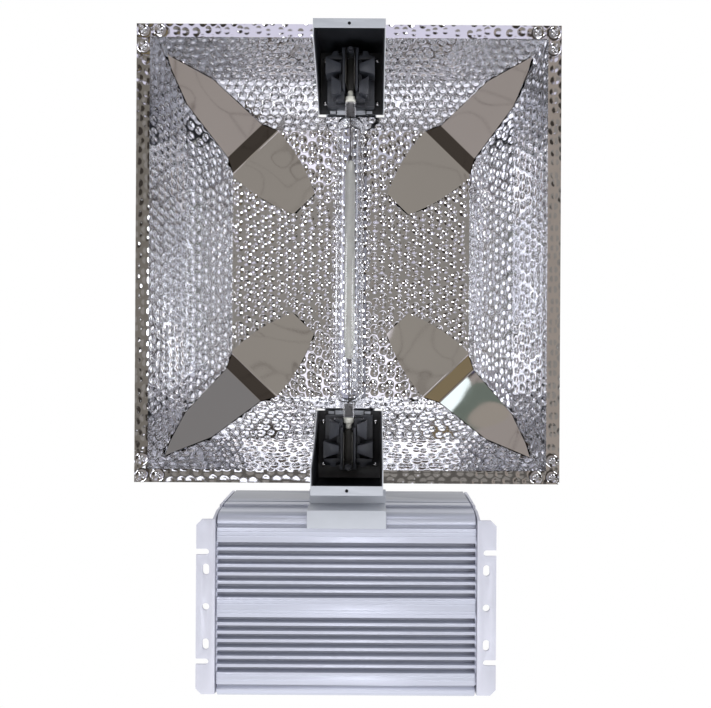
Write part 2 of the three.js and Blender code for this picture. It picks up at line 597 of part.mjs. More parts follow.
screwPlaces.forEach(([y, z], i) => {
  const seat = END_PLATE.outer + GAP
  const head = rod('x', PLATE_SCREW.headR, seat, seat + PLATE_SCREW.headHeight, 12)
  const shank = rod('x', PLATE_SCREW.shankR, GASKET.inner + GAP, END_PLATE.outer + 1, 8)
  const screw = join(head, shank).translate(0, y, z)
  add(ballast, `plate_screw_right_${i + 1}`, screw, 'screw')
  add(ballast, `plate_screw_left_${i + 1}`, mirrored(screw, 'x'), 'screw')
})

// ---------------------------------------------------------------- sockets and controls

function mainsInlet () {
  const { width, height, inset, flange, depth, socket: [socketWidth, socketHeight, socketDepth] } = INLET
  const face = END_PLATE.outer + GAP
  const rim = box([face, face + flange], [-width / 2, width / 2], [-height / 2, height / 2])
  const body = box([face - depth, face + 1], [-width / 2 + inset, width / 2 - inset],
    [-height / 2 + inset, height / 2 - inset])
  const room = box([face + flange - socketDepth, face + flange + 1], [-socketWidth / 2, socketWidth / 2],
    [-socketHeight / 2, socketHeight / 2])
  const pin = (y, z) => box([face + flange - socketDepth - 1, face], [y - 1, y + 1], [z - 2.5, z + 2.5])
  const pins = [pin(-INLET.pinPitch, -1.5), pin(0, 2.5), pin(INLET.pinPitch, -1.5)]
  return join(cut(join(rim, body), room), ...pins).translate(0, INLET.y, INLET.z)
}

function controlJack (y) {
  const { width, height, depth, socket: [socketWidth, socketHeight, socketDepth] } = JACK
  const face = END_PLATE.outer + 1
  const body = box([face - depth, face], [-width / 2, width / 2], [-height / 2, height / 2])
  const room = box([face - socketDepth, face + 1], [-socketWidth / 2, socketWidth / 2],
    [-socketHeight / 2, socketHeight / 2])
  return cut(body, room).translate(0, y, JACK.z)
}

// rotary switch: a block behind the plate with its shaft through it
function dimmerSwitch () {
  const back = END_PLATE.inner - GAP
  const body = box([back - DIMMER.bodyLength, back], [-DIMMER.bodyHalf, DIMMER.bodyHalf],
    [-DIMMER.bodyHalf, DIMMER.bodyHalf])
  return join(body, rod('x', DIMMER.shaftR, back - 1, END_PLATE.outer + 9)).translate(0, DIMMER.y, DIMMER.z)
}

function dimmerKnob () {
  const face = END_PLATE.outer + 1
  const grip = rod('x', DIMMER.knobR, face, face + DIMMER.knobLength, 24)
  const bore = rod('x', DIMMER.shaftR + 0.05, face - 1, END_PLATE.outer + 9.3)
  const front = face + DIMMER.knobLength
  const pointer = box([front - 1, front + 1.5], [-1.2, 1.2], [0, DIMMER.knobR])
  return cut(join(grip, pointer), bore).translate(0, DIMMER.y, DIMMER.z)
}

function statusLens () {
  const face = END_PLATE.outer + GAP
  const stem = rod('x', LENS.r, END_PLATE.inner - 2, face + 0.5, 12)
  return join(stem, rod('x', LENS.flangeR, face, face + 1.6, 12)).translate(0, LENS.y, LENS.z)
}

add(ballast, 'mains_inlet', mainsInlet(), 'socket')
JACK.y.forEach((y, i) => add(ballast, `control_jack_${i + 1}`, controlJack(y), 'socket'))
add(ballast, 'dimmer_switch', dimmerSwitch(), 'socket')
add(ballast, 'dimmer_knob', dimmerKnob(), 'knob')
add(ballast, 'status_lens', statusLens(), 'lens')

// ---------------------------------------------------------------- electronics

const boardTop = BOARD.z + BOARD.thick
const seatZ = boardTop + GAP
add(ballast, 'circuit_board', box(BOARD.x, [-BOARD.halfY, BOARD.halfY], [BOARD.z, boardTop]), 'board')
add(ballast, 'heat_spreader', box(SPREADER.x, [SPREADER.y - SPREADER.thick / 2, SPREADER.y + SPREADER.thick / 2],
  [seatZ, seatZ + SPREADER.height]), 'plate')
for (const [name, [x, y, length, width, height]] of Object.entries(CHOKES)) {
  add(ballast, name, box([x - length / 2, x + length / 2], [y - width / 2, y + width / 2],
    [seatZ, seatZ + height]), 'winding')
}
BULK_CAPS.x.forEach((x, i) => add(ballast, `bulk_capacitor_${i + 1}`,
  rod('z', BULK_CAPS.r, seatZ, seatZ + BULK_CAPS.height, 16).translate(x, BULK_CAPS.y, 0), 'capacitor'))

// ---------------------------------------------------------------- supply leads

// each lead runs from the ballast through the spine and down to one holder
function supplyLead (x, holderY) {
  const at = (px, y, z) => new THREE.Vector3(px, y, z)
  const entryY = BALLAST_Y - CAVITY.half + 4
  return wireAlong([at(x, entryY, LEAD.entryZ), at(x, SPINE.nearY - 9, LEAD.entryZ),
    at(x, SPINE.nearY - 9, LEAD.z), at(0, holderY, LEAD.z), at(0, holderY, LEAD.endZ)], LEAD.r, 4, 40)
}

// ---------------------------------------------------------------- hangers

function hangerLug (baseZ) {
  const { earX, earThick, earFoot, earTip, pivotZ, holeR } = HANGER
  const seat = baseZ + GAP
  const base = box([-earX, earX], [-earFoot, earFoot], [seat, seat + earThick])
  const ear = alongX([[-earFoot, seat], [earFoot, seat], [earTip, pivotZ + earTip], [-earTip, pivotZ + earTip]],
    earX - earThick, earX)
  const hole = rod('x', holeR, -earX - 5, earX + 5, 12).translate(0, 0, pivotZ)
  return cut(join(base, ear, mirrored(ear, 'x')), hole)
}

// the bail lies level at rest, on the side given by its direction
function hangerBail (direction) {
  const { legX, footX, reach, wireR, bendR } = HANGER
  const at = (x, y) => new THREE.Vector3(x, y * direction, 0)
  return wireAlong([at(-footX, 0), at(-legX, 0), at(-legX, reach), at(legX, reach), at(legX, 0), at(footX, 0)],
    wireR, bendR, 60)
}

for (const [name, y, baseZ, direction] of [
  ['hood', HANGER.hoodY, SPINE.top, 1],
  ['ballast', BALLAST_Y, SHELL.back, -1]
]) {
  add(hood, `hanger_lug_${name}`, hangerLug(baseZ), 'plate').position.y = y
  add(hood, `hanger_bail_${name}`, hangerBail(direction), 'wire').position.set(0, y, HANGER.pivotZ)
}

add(hood, 'supply_lead_near', supplyLead(LEAD.x, LEAD.dropY), 'cable')
add(hood, 'supply_lead_far', supplyLead(-LEAD.x, -LEAD.dropY), 'cable')

export default fixture
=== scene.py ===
"""Looks of an open grow-light fixture: dimpled hood, corner mirrors, lamp, holders and ballast.

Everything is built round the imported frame, in metres, +Z up as the fixture hangs, so the hood
opens downwards and the camera looks up into it. Hood places are measured along Y from the
hood's middle, and near means towards the ballast, which is on the +Y side.
"""

import json
import logging
import math
from dataclasses import dataclass, field
from enum import Enum
from typing import Callable, Iterable, Optional, Sequence

import bmesh
import bpy
import numpy as np
from mathutils import Matrix, Vector

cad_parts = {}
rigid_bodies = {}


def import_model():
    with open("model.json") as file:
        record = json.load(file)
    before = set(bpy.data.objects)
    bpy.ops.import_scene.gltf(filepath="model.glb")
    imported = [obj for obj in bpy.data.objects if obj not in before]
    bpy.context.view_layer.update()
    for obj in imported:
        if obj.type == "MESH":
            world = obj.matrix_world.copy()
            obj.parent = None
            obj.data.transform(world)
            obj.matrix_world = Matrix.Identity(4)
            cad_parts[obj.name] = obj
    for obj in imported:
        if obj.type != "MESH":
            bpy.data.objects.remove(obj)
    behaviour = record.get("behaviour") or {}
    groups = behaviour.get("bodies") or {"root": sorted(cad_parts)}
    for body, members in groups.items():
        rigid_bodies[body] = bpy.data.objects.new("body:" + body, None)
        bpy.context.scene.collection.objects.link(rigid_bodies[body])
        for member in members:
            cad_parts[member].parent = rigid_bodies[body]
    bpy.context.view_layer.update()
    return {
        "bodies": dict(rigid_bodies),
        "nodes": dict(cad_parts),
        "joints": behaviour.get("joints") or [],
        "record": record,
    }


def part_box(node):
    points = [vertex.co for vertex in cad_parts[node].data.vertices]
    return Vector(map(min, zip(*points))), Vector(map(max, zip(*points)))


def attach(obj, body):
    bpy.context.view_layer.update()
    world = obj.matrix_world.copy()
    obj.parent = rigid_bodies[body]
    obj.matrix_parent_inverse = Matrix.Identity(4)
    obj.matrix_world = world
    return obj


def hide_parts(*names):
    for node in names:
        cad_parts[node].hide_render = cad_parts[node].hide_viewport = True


LOG = logging.getLogger("grow_lamp")
MM = 0.001
Colour = tuple[float, float, float]
Mesh = bmesh.types.BMesh
Verts = list[bmesh.types.BMVert]
Socket = bpy.types.NodeSocket
Point = Sequence[float]
SHEET_SMOOTH_DEG = 50.0


class End(Enum):
    """The two ends of the lamp, with the sign of their Y."""

    NEAR = 1
    FAR = -1

    @property
    def word(self) -> str:
        """The end's word in node names."""
        return self.name.lower()


class Side(Enum):
    """The two sides of the lamp, with the sign of their X."""

    RIGHT = 1
    LEFT = -1

    @property
    def word(self) -> str:
        """The side's word in node names."""
        return self.name.lower()


# ---------------------------------------------------------------- materials


class Graph:
    """Adds shader nodes to one node tree and links them."""

    def __init__(self, tree: bpy.types.NodeTree) -> None:
        """Starts from an empty tree.

        Args:
            tree: the material's or world's node tree.
        """
        self.tree = tree
        tree.nodes.clear()

    def add(self, kind: str, **values: object) -> bpy.types.Node:
        """Adds one node.

        Args:
            kind: the node's type, such as "ShaderNodeTexNoise".
            values: socket names, with _ for a space, and a number, a colour or a socket to link.

        Returns:
            The new node.
        """
        node = self.tree.nodes.new(kind)
        for name, value in values.items():
            socket = node.inputs[name.replace("_", " ")]
            if isinstance(value, Socket):
                self.tree.links.new(value, socket)
            else:
                socket.default_value = value
        return node

    def ramp(self, factor: Socket, stops: Sequence[tuple[float, Colour]]) -> Socket:
        """Adds a colour ramp.

        Args:
            factor: the value looked up.
            stops: positions from 0 to 1, each with its colour.

        Returns:
            The ramp's colour socket.
        """
        node = self.add("ShaderNodeValToRGB", Fac=factor)
        elements = node.color_ramp.elements
        while len(elements) < len(stops):
            elements.new(0.5)
        for element, (position, colour) in zip(elements, stops):
            element.position = position
            element.color = (*colour, 1.0)
        return node.outputs["Color"]

    def maths(self, operation: str, first: object, second: object) -> Socket:
        """Adds one sum of two values.

        Args:
            operation: the node's operation, such as "ADD".
            first: a socket or a number.
            second: a socket or a number.

        Returns:
            The result's socket.
        """
        node = self.add("ShaderNodeMath")
        node.operation = operation
        for socket, value in zip(node.inputs, (first, second)):
            if isinstance(value, Socket):
                self.tree.links.new(value, socket)
            else:
                socket.default_value = value
        return node.outputs[0]

    def mixed(self, share: object, under: object, over: object, blend: str = "MIX") -> Socket:
        """Mixes two colours.

        Args:
            share: how much of the second one, a socket or a number.
            under: the first colour, a socket or four numbers.
            over: the second one.
            blend: the node's blend type.

        Returns:
            The result's socket.
        """
        node = self.add("ShaderNodeMixRGB", Fac=share, Color1=under, Color2=over)
        node.blend_type = blend
        return node.outputs["Color"]

    def noise(self, vector: Socket, scale: float, detail: float = 3.0) -> Socket:
        """Adds a noise texture and returns its value socket."""
        return self.add("ShaderNodeTexNoise", Vector=vector, Scale=scale, Detail=detail).outputs["Fac"]

    def spread(self, value: Socket, low: float, high: float) -> Socket:
        """Maps the middle of a noise's range onto low to high."""
        return self.mapped(value, (0.3, 0.7), (low, high))

    def mapped(
        self, value: Socket, start: tuple[float, float], end: tuple[float, float] = (0.0, 1.0)
    ) -> Socket:
        """Maps one range of a value onto another, clamped."""
        node = self.add("ShaderNodeMapRange", Value=value, From_Min=start[0], From_Max=start[1],
                        To_Min=end[0], To_Max=end[1])
        return node.outputs["Result"]


@dataclass(frozen=True)
class Finish:
    """One surface finish, made as a procedural material."""

    name: str
    colour: Colour
    metallic: float = 0.0
    roughness: float = 0.5
    rough_spread: float = 0.06
    mottle: float = 0.06
    patch: float = 18.0
    grain: float = 900.0
    relief: float = 0.1
    stretch: tuple[float, float, float] = (1.0, 1.0, 1.0)
    coat: float = 0.0
    transmission: float = 0.0
    ior: float = 1.5
    specular: float = 0.5
    # shade holds painted shade: (height, tone) stops that darken the colour by the part's own height,
    # standing in for shadow in recesses and on sides turned from the light.
    shade: tuple[tuple[float, float], ...] = ()
    shade_top: float = 120.0 * MM

    def build(self) -> bpy.types.Material:
        """Makes the material.

        Returns:
            The material, with its colour, roughness and relief varied by noise, and with painted shade that
            darkens the colour by height where shade stops are given.
        """
        material = bpy.data.materials.new(self.name)
        material.use_nodes = True
        graph = Graph(material.node_tree)
        place = graph.add("ShaderNodeTexCoord").outputs["Object"]
        run = graph.add("ShaderNodeMapping", Vector=place, Scale=self.stretch).outputs["Vector"]
        patches = graph.noise(run, self.patch)
        fine = graph.noise(run, self.grain, 2.0)
        darker = tuple(c * (1.0 - self.mottle) for c in self.colour)
        lighter = tuple(min(c * (1.0 + self.mottle), 1.0) for c in self.colour)
        colour = graph.ramp(patches, [(0.35, darker), (0.65, lighter)])
        # Painted shade: the colour is multiplied by a grey tone that changes with the part's height.
        if self.shade:
            z = graph.add("ShaderNodeSeparateXYZ", Vector=place).outputs["Z"]
            height = graph.maths("DIVIDE", z, self.shade_top)
            painted_shade_tones = [(level / self.shade_top, (tone, tone, tone)) for level, tone in self.shade]
            colour = graph.mixed(1.0, colour, graph.ramp(height, painted_shade_tones), "MULTIPLY")
        low, high = max(self.roughness - self.rough_spread, 0.0), self.roughness + self.rough_spread
        shader = graph.add(
            "ShaderNodeBsdfPrincipled",
            Base_Color=colour,
            Metallic=self.metallic,
            Roughness=graph.spread(graph.noise(run, self.patch * 3.0), low, high),
            IOR=self.ior,
            Coat_Weight=self.coat,
            Transmission_Weight=self.transmission,
            Specular_IOR_Level=self.specular,
        )
        if self.relief:
            bump = graph.add("ShaderNodeBump", Strength=self.relief, Distance=0.2 * MM, Height=fine)
            graph.tree.links.new(bump.outputs["Normal"], shader.inputs["Normal"])
        graph.add("ShaderNodeOutputMaterial", Surface=shader.outputs["BSDF"])
        return material


FINISHES = {
    "hammered": Finish("hammered_aluminium", (0.775, 0.78, 0.80), 1.0, 0.03, 0.012, 0.03, 30.0, 1500.0, 0.05),
    "mirror": Finish("mirror_aluminium", (0.86, 0.84, 0.82), 1.0, 0.025, 0.01, 0.01, 12.0, 700.0, 0.01),
    "housing": Finish("grey_powder_coat", (0.405, 0.425, 0.47), 0.0, 0.42, 0.05, 0.03, 25.0, 1400.0, 0.25),
    "black_sheet": Finish("black_paint", (0.012, 0.013, 0.016), 0.0, 0.38, 0.08, 0.2, 30.0, 1200.0, 0.2),
    "holder": Finish("dark_moulding", (0.030, 0.033, 0.042), 0.0, 0.36, 0.06, 0.15, 60.0, 1600.0, 0.2),
    "contact": Finish("contact_steel", (0.08, 0.08, 0.075), 1.0, 0.35, 0.08, 0.1, 60.0, 1200.0, 0.1),
    "quartz": Finish("clear_quartz", (0.98, 0.99, 1.0), 0.0, 0.01, 0.005, 0.0, 20.0, 300.0, 0.0,
                     transmission=1.0, ior=1.46),
    "arc_ceramic": Finish("sintered_alumina", (0.74, 0.74, 0.69), 0.0, 0.45, 0.08, 0.05, 60.0, 2000.0, 0.1),
    "cap_ceramic": Finish("steatite", (0.74, 0.74, 0.68), 0.0, 0.5, 0.08, 0.05, 80.0, 2000.0, 0.2),
    # The extrusion's shade stops are painted shade: darker on the fin grooves' floors and on the upper side
    # that faces the hood, where shadow falls.
    "extrusion": Finish("anodised_extrusion", (0.57, 0.595, 0.70), 0.35, 0.34, 0.06, 0.04, 14.0, 700.0, 0.35,
                        stretch=(0.04, 1.0, 1.0),
                        shade=((2.6 * MM, 1.0), (4.0 * MM, 0.85), (11.0 * MM, 0.62), (14.0 * MM, 0.85),
                               (50.0 * MM, 0.75), (72.0 * MM, 0.42))),
    "plate": Finish("silver_coat", (0.55, 0.56, 0.64), 0.2, 0.4, 0.06, 0.03, 25.0, 1300.0, 0.2),
    "gasket": Finish("foam_rubber", (0.58, 0.60, 0.70), 0.0, 0.85, 0.05, 0.2, 200.0, 2500.0, 0.5),
    "screw": Finish("zinc_plate", (0.72, 0.73, 0.74), 1.0, 0.22, 0.06, 0.06, 200.0, 3000.0, 0.1),
    "socket": Finish("black_moulding", (0.014, 0.015, 0.017), 0.0, 0.4, 0.08, 0.15, 60.0, 1500.0, 0.25),
    "knob": Finish("knob_moulding", (0.02, 0.021, 0.024), 0.0, 0.42, 0.08, 0.15, 60.0, 1500.0, 0.3),
    "lens": Finish("green_lens", (0.12, 0.62, 0.22), 0.0, 0.15, 0.05, 0.05, 100.0, 1500.0, 0.05, coat=0.5),
    "board": Finish("green_lacquer", (0.03, 0.12, 0.05), 0.0, 0.45, 0.08, 0.2, 90.0, 900.0, 0.3),
    "winding": Finish("copper_winding", (0.42, 0.17, 0.05), 0.7, 0.4, 0.1, 0.2, 300.0, 1200.0, 0.8,
                      stretch=(1.0, 0.1, 1.0)),
    "capacitor": Finish("can_sleeve", (0.02, 0.024, 0.035), 0.0, 0.3, 0.06, 0.1, 60.0, 1200.0, 0.1),
    "cable": Finish("silicone_cable", (0.70, 0.70, 0.66), 0.0, 0.6, 0.08, 0.08, 90.0, 1500.0, 0.3),
    "wire": Finish("bright_wire", (0.62, 0.63, 0.65), 1.0, 0.28, 0.06, 0.06, 120.0, 2000.0, 0.1),
    "pinch": Finish("pinch_seal", (0.20, 0.20, 0.21), 0.3, 0.3, 0.06, 0.1, 120.0, 1500.0, 0.2),
    "niobium": Finish("niobium_tube", (0.11, 0.10, 0.10), 0.8, 0.4, 0.08, 0.1, 150.0, 2000.0, 0.2),
}


class Paint:
    """Makes each finish once and hands it out."""

    def __init__(self) -> None:
        """Starts with no materials made."""
        self.made: dict[str, bpy.types.Material] = {}

    def get(self, finish: str) -> bpy.types.Material:
        """The material of a finish, made on its first use."""
        if finish not in self.made:
            self.made[finish] = FINISHES[finish].build()
        return self.made[finish]


# ---------------------------------------------------------------- pieces


def once(items: Iterable[object]) -> list:
    """The items without repeats, in their first order, so that every run works in one order."""
    return list(dict.fromkeys(items))


class Shop:
    """Turns finished bmeshes into pieces that ride on the frame."""

    def __init__(self, frame: dict, paint: Paint) -> None:
        """Keeps what every piece needs.

        Args:
            frame: the loaded frame.
            paint: where the materials come from.
        """
        self.frame = frame
        self.paint = paint
        self.slot_of = {part["node"]: part["material_slot"] for part in frame["record"]["subparts"]}
        self.body_of = {
            node: body for body, nodes in frame["record"]["behaviour"]["bodies"].items() for node in nodes
        }

    def piece(
        self,
        mesh: Mesh,
        name: str,
        finish: str,
        nodes: Sequence[str] = (),
        body: str = "fixture",
        slot: Optional[str] = None,
        smooth_deg: float = 35.0,
    ) -> bpy.types.Object:
        """Makes one piece from a bmesh and frees the bmesh.

        Args:
            mesh: the piece's shape, in the row frame.
            name: the piece's name.
            finish: the name of its finish.
            nodes: the CAD nodes that it stands for.
            body: the body that it rides on.
            slot: the record's slot for its finish, where that isn't the finish's own name; not used.
            smooth_deg: edges sharper than this stay sharp.

        Returns:
            The new object.
        """
        data = bpy.data.meshes.new(name)
        mesh.to_mesh(data)
        mesh.free()
        data.polygons.foreach_set("use_smooth", [True] * len(data.polygons))
        data.set_sharp_from_angle(angle=math.radians(smooth_deg))
        data.materials.append(self.paint.get(finish))
        piece = bpy.data.objects.new(name, data)
        bpy.context.scene.collection.objects.link(piece)
        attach(piece, self.body_of[nodes[0]] if nodes else body)
        if nodes:
            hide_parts(*nodes)
        LOG.info("%s: %d faces", name, len(data.polygons))
        return piece

    def merged_copy(self, node: str) -> Mesh:
        """A CAD node's shape with its triangles merged and its flat faces made whole.

        Args:
            node: the node's name.

        Returns:
            The copy.
        """
        mesh = bmesh.new()
        mesh.from_mesh(self.frame["nodes"][node].data)
        bmesh.ops.remove_doubles(mesh, verts=mesh.verts, dist=2e-6)
        bmesh.ops.dissolve_limit(mesh, angle_limit=math.radians(1.0), verts=mesh.verts, edges=mesh.edges,
                                 delimit={"NORMAL"})
        return mesh

    def refined(self, node: str, edge: float, sharper_than: float = 30.0) -> None:
        """Stands a bevelled copy in for a CAD node.

        Args:
            node: the node's name.
            edge: the width of the bevel.
            sharper_than: edges that turn by more than this are bevelled, in degrees.
        """
        mesh = self.merged_copy(node)
        bevel_sharp(mesh, edge, sharper_than)
        self.piece(mesh, f"{node}_detail", self.slot_of[node], [node])


def bevel_sharp(mesh: Mesh, width: float, sharper_than: float = 30.0, segments: int = 2) -> None:
    """Rounds every sharp edge.

    Args:
        mesh: the shape, changed in place.
        width: the bevel's width.
        sharper_than: edges that turn by more than this, in degrees, are rounded.
        segments: how many faces across each bevel.
    """
    limit = math.radians(sharper_than)
    edges = [e for e in mesh.edges if e.is_manifold and e.calc_face_angle(0.0) > limit]
    bmesh.ops.bevel(mesh, geom=edges, offset=width, offset_type="OFFSET", affect="EDGES", segments=segments,
                    profile=0.5, material=-1, clamp_overlap=True)


def block(mesh: Mesh, low: Point, high: Point) -> Verts:
    """Adds a box between two corners.

    Args:
        mesh: the bmesh that it is added to.
        low: the lowest corner.
        high: the highest corner.

    Returns:
        The box's vertices.
    """
    size = Vector(high) - Vector(low)
    middle = (Vector(high) + Vector(low)) / 2
    matrix = Matrix.Translation(middle) @ Matrix.Diagonal((*size, 1.0))
    return bmesh.ops.create_cube(mesh, size=1.0, matrix=matrix)["verts"]


def block_pair(mesh: Mesh, low: Point, high: Point) -> None:
    """Adds a box on the right, between two corners, and its mirror image on the left."""
    block(mesh, (-high[0], low[1], low[2]), (-low[0], high[1], high[2]))
    block(mesh, low, high)


def prism(mesh: Mesh, outline: Sequence[Point], move: Point) -> Verts:
    """Adds an outline extruded along a vector.

    Args:
        mesh: the bmesh that it is added to.
        outline: the corners of one flat end.
        move: the way from that end to the other.

    Returns:
        All the new vertices.
    """
    start = [mesh.verts.new(point) for point in outline]
    face = mesh.faces.new(start)
    grown = bmesh.ops.extrude_face_region(mesh, geom=[face], use_keep_orig=True)
    end = [item for item in grown["geom"] if isinstance(item, bmesh.types.BMVert)]
    bmesh.ops.translate(mesh, verts=end, vec=Vector(move))
    faces = once(face for vert in start + end for face in vert.link_faces)
    bmesh.ops.recalc_face_normals(mesh, faces=faces)
    return start + end


def turned(
    mesh: Mesh,
    profile: Sequence[tuple[float, float]],
    centre: Point,
    axis: Point,
    steps: int = 32,
) -> Verts:
    """Adds a profile turned once about an axis.

    Args:
        mesh: the bmesh that it is added to.
        profile: (radius, place along the axis) points, from one end on the axis to the other, or closed.
        centre: a point on the axis.
        axis: the axis' direction.
        steps: how many faces round.

    Returns:
        The new vertices.
    """
    along = Vector(axis).normalized()
    out = along.orthogonal().normalized()
    origin = Vector(centre)
    verts = [mesh.verts.new(origin + along * place + out * radius) for radius, place in profile]
    edges = [mesh.edges.new(pair) for pair in zip(verts, verts[1:])]
    spun = bmesh.ops.spin(mesh, geom=verts + edges, cent=origin, axis=along, angle=math.tau, steps=steps,
                          use_merge=True)
    made = [item for item in spun["geom_last"] if isinstance(item, bmesh.types.BMVert)]
    pending = once(verts + made)
    reach = dict.fromkeys(pending)
    while pending:
        vert = pending.pop()
        for edge in vert.link_edges:
            other = edge.other_vert(vert)
            if other not in reach:
                reach[other] = None
                pending.append(other)
    bmesh.ops.remove_doubles(mesh, verts=list(reach), dist=1e-6)
    kept = [vert for vert in reach if vert.is_valid]
    bmesh.ops.recalc_face_normals(mesh, faces=once(face for vert in kept for face in vert.link_faces))
    return kept


def mirror_to(mesh: Mesh, end: End, middle_y: float, side: Side = Side.RIGHT) -> None:
    """Moves a shape made for the near right of the hood's middle to its own end and side.

    Args:
        mesh: a shape whose Y is measured from the hood's middle.
        end: the end that it belongs to.
        middle_y: the hood's middle in the row frame.
        side: the side that it belongs to.
    """
    bmesh.ops.scale(mesh, vec=(side.value, end.value, 1.0), verts=mesh.verts)
    if side.value * end.value < 0:
        bmesh.ops.reverse_faces(mesh, faces=mesh.faces)
    bmesh.ops.translate(mesh, vec=(0.0, middle_y, 0.0), verts=mesh.verts)


# ---------------------------------------------------------------- hood


@dataclass
class Dimples:
    """Round pits pressed into sheet on a jittered triangular lattice."""

    pitch: float = 11.2 * MM
    jitter: float = 0.19
    radius: tuple[float, float] = (0.37, 0.50)
    depth: tuple[float, float] = (0.5 * MM, 0.8 * MM)
    flat_bottom: float = 0.28
    seed: int = 7
    tile: int = 97

    def __post_init__(self) -> None:
        """Draws each lattice place's own jitter, radius and depth."""
        draw = np.random.default_rng(self.seed)
        shape = (self.tile, self.tile)
        self.shift_u = draw.uniform(-self.jitter, self.jitter, shape)
        self.shift_v = draw.uniform(-self.jitter, self.jitter, shape)
        self.size = draw.uniform(*self.radius, shape) * self.pitch
        self.deep = draw.uniform(*self.depth, shape)

    def depth_at(self, u: np.ndarray, v: np.ndarray) -> np.ndarray:
        """How deep the sheet is pressed at each point.

        Args:
            u: places along the sheet, in metres.
            v: places across it.

        Returns:
            The depths, from 0 on the lands between pits.
        """
        row_height = self.pitch * math.sqrt(3) / 2
        row = np.floor(v / row_height).astype(int)
        result = np.zeros_like(u)
        for step_v in (-1, 0, 1, 2):
            j = row + step_v
            offset = 0.5 * (j % 2)
            column = np.floor(u / self.pitch - offset).astype(int)
            for step_u in (-1, 0, 1, 2):
                i = column + step_u
                pick = (i % self.tile, j % self.tile)
                du = u - (i + offset + self.shift_u[pick]) * self.pitch
                dv = v - (j + self.shift_v[pick]) * row_height
                reach = np.minimum(np.hypot(du, dv) / self.size[pick], 1.0)
                ring = np.clip((reach - self.flat_bottom) / (1.0 - self.flat_bottom), 0.0, 1.0)
                result = np.maximum(result, self.deep[pick] * (1.0 - ring * ring * (3.0 - 2.0 * ring)))
        return result


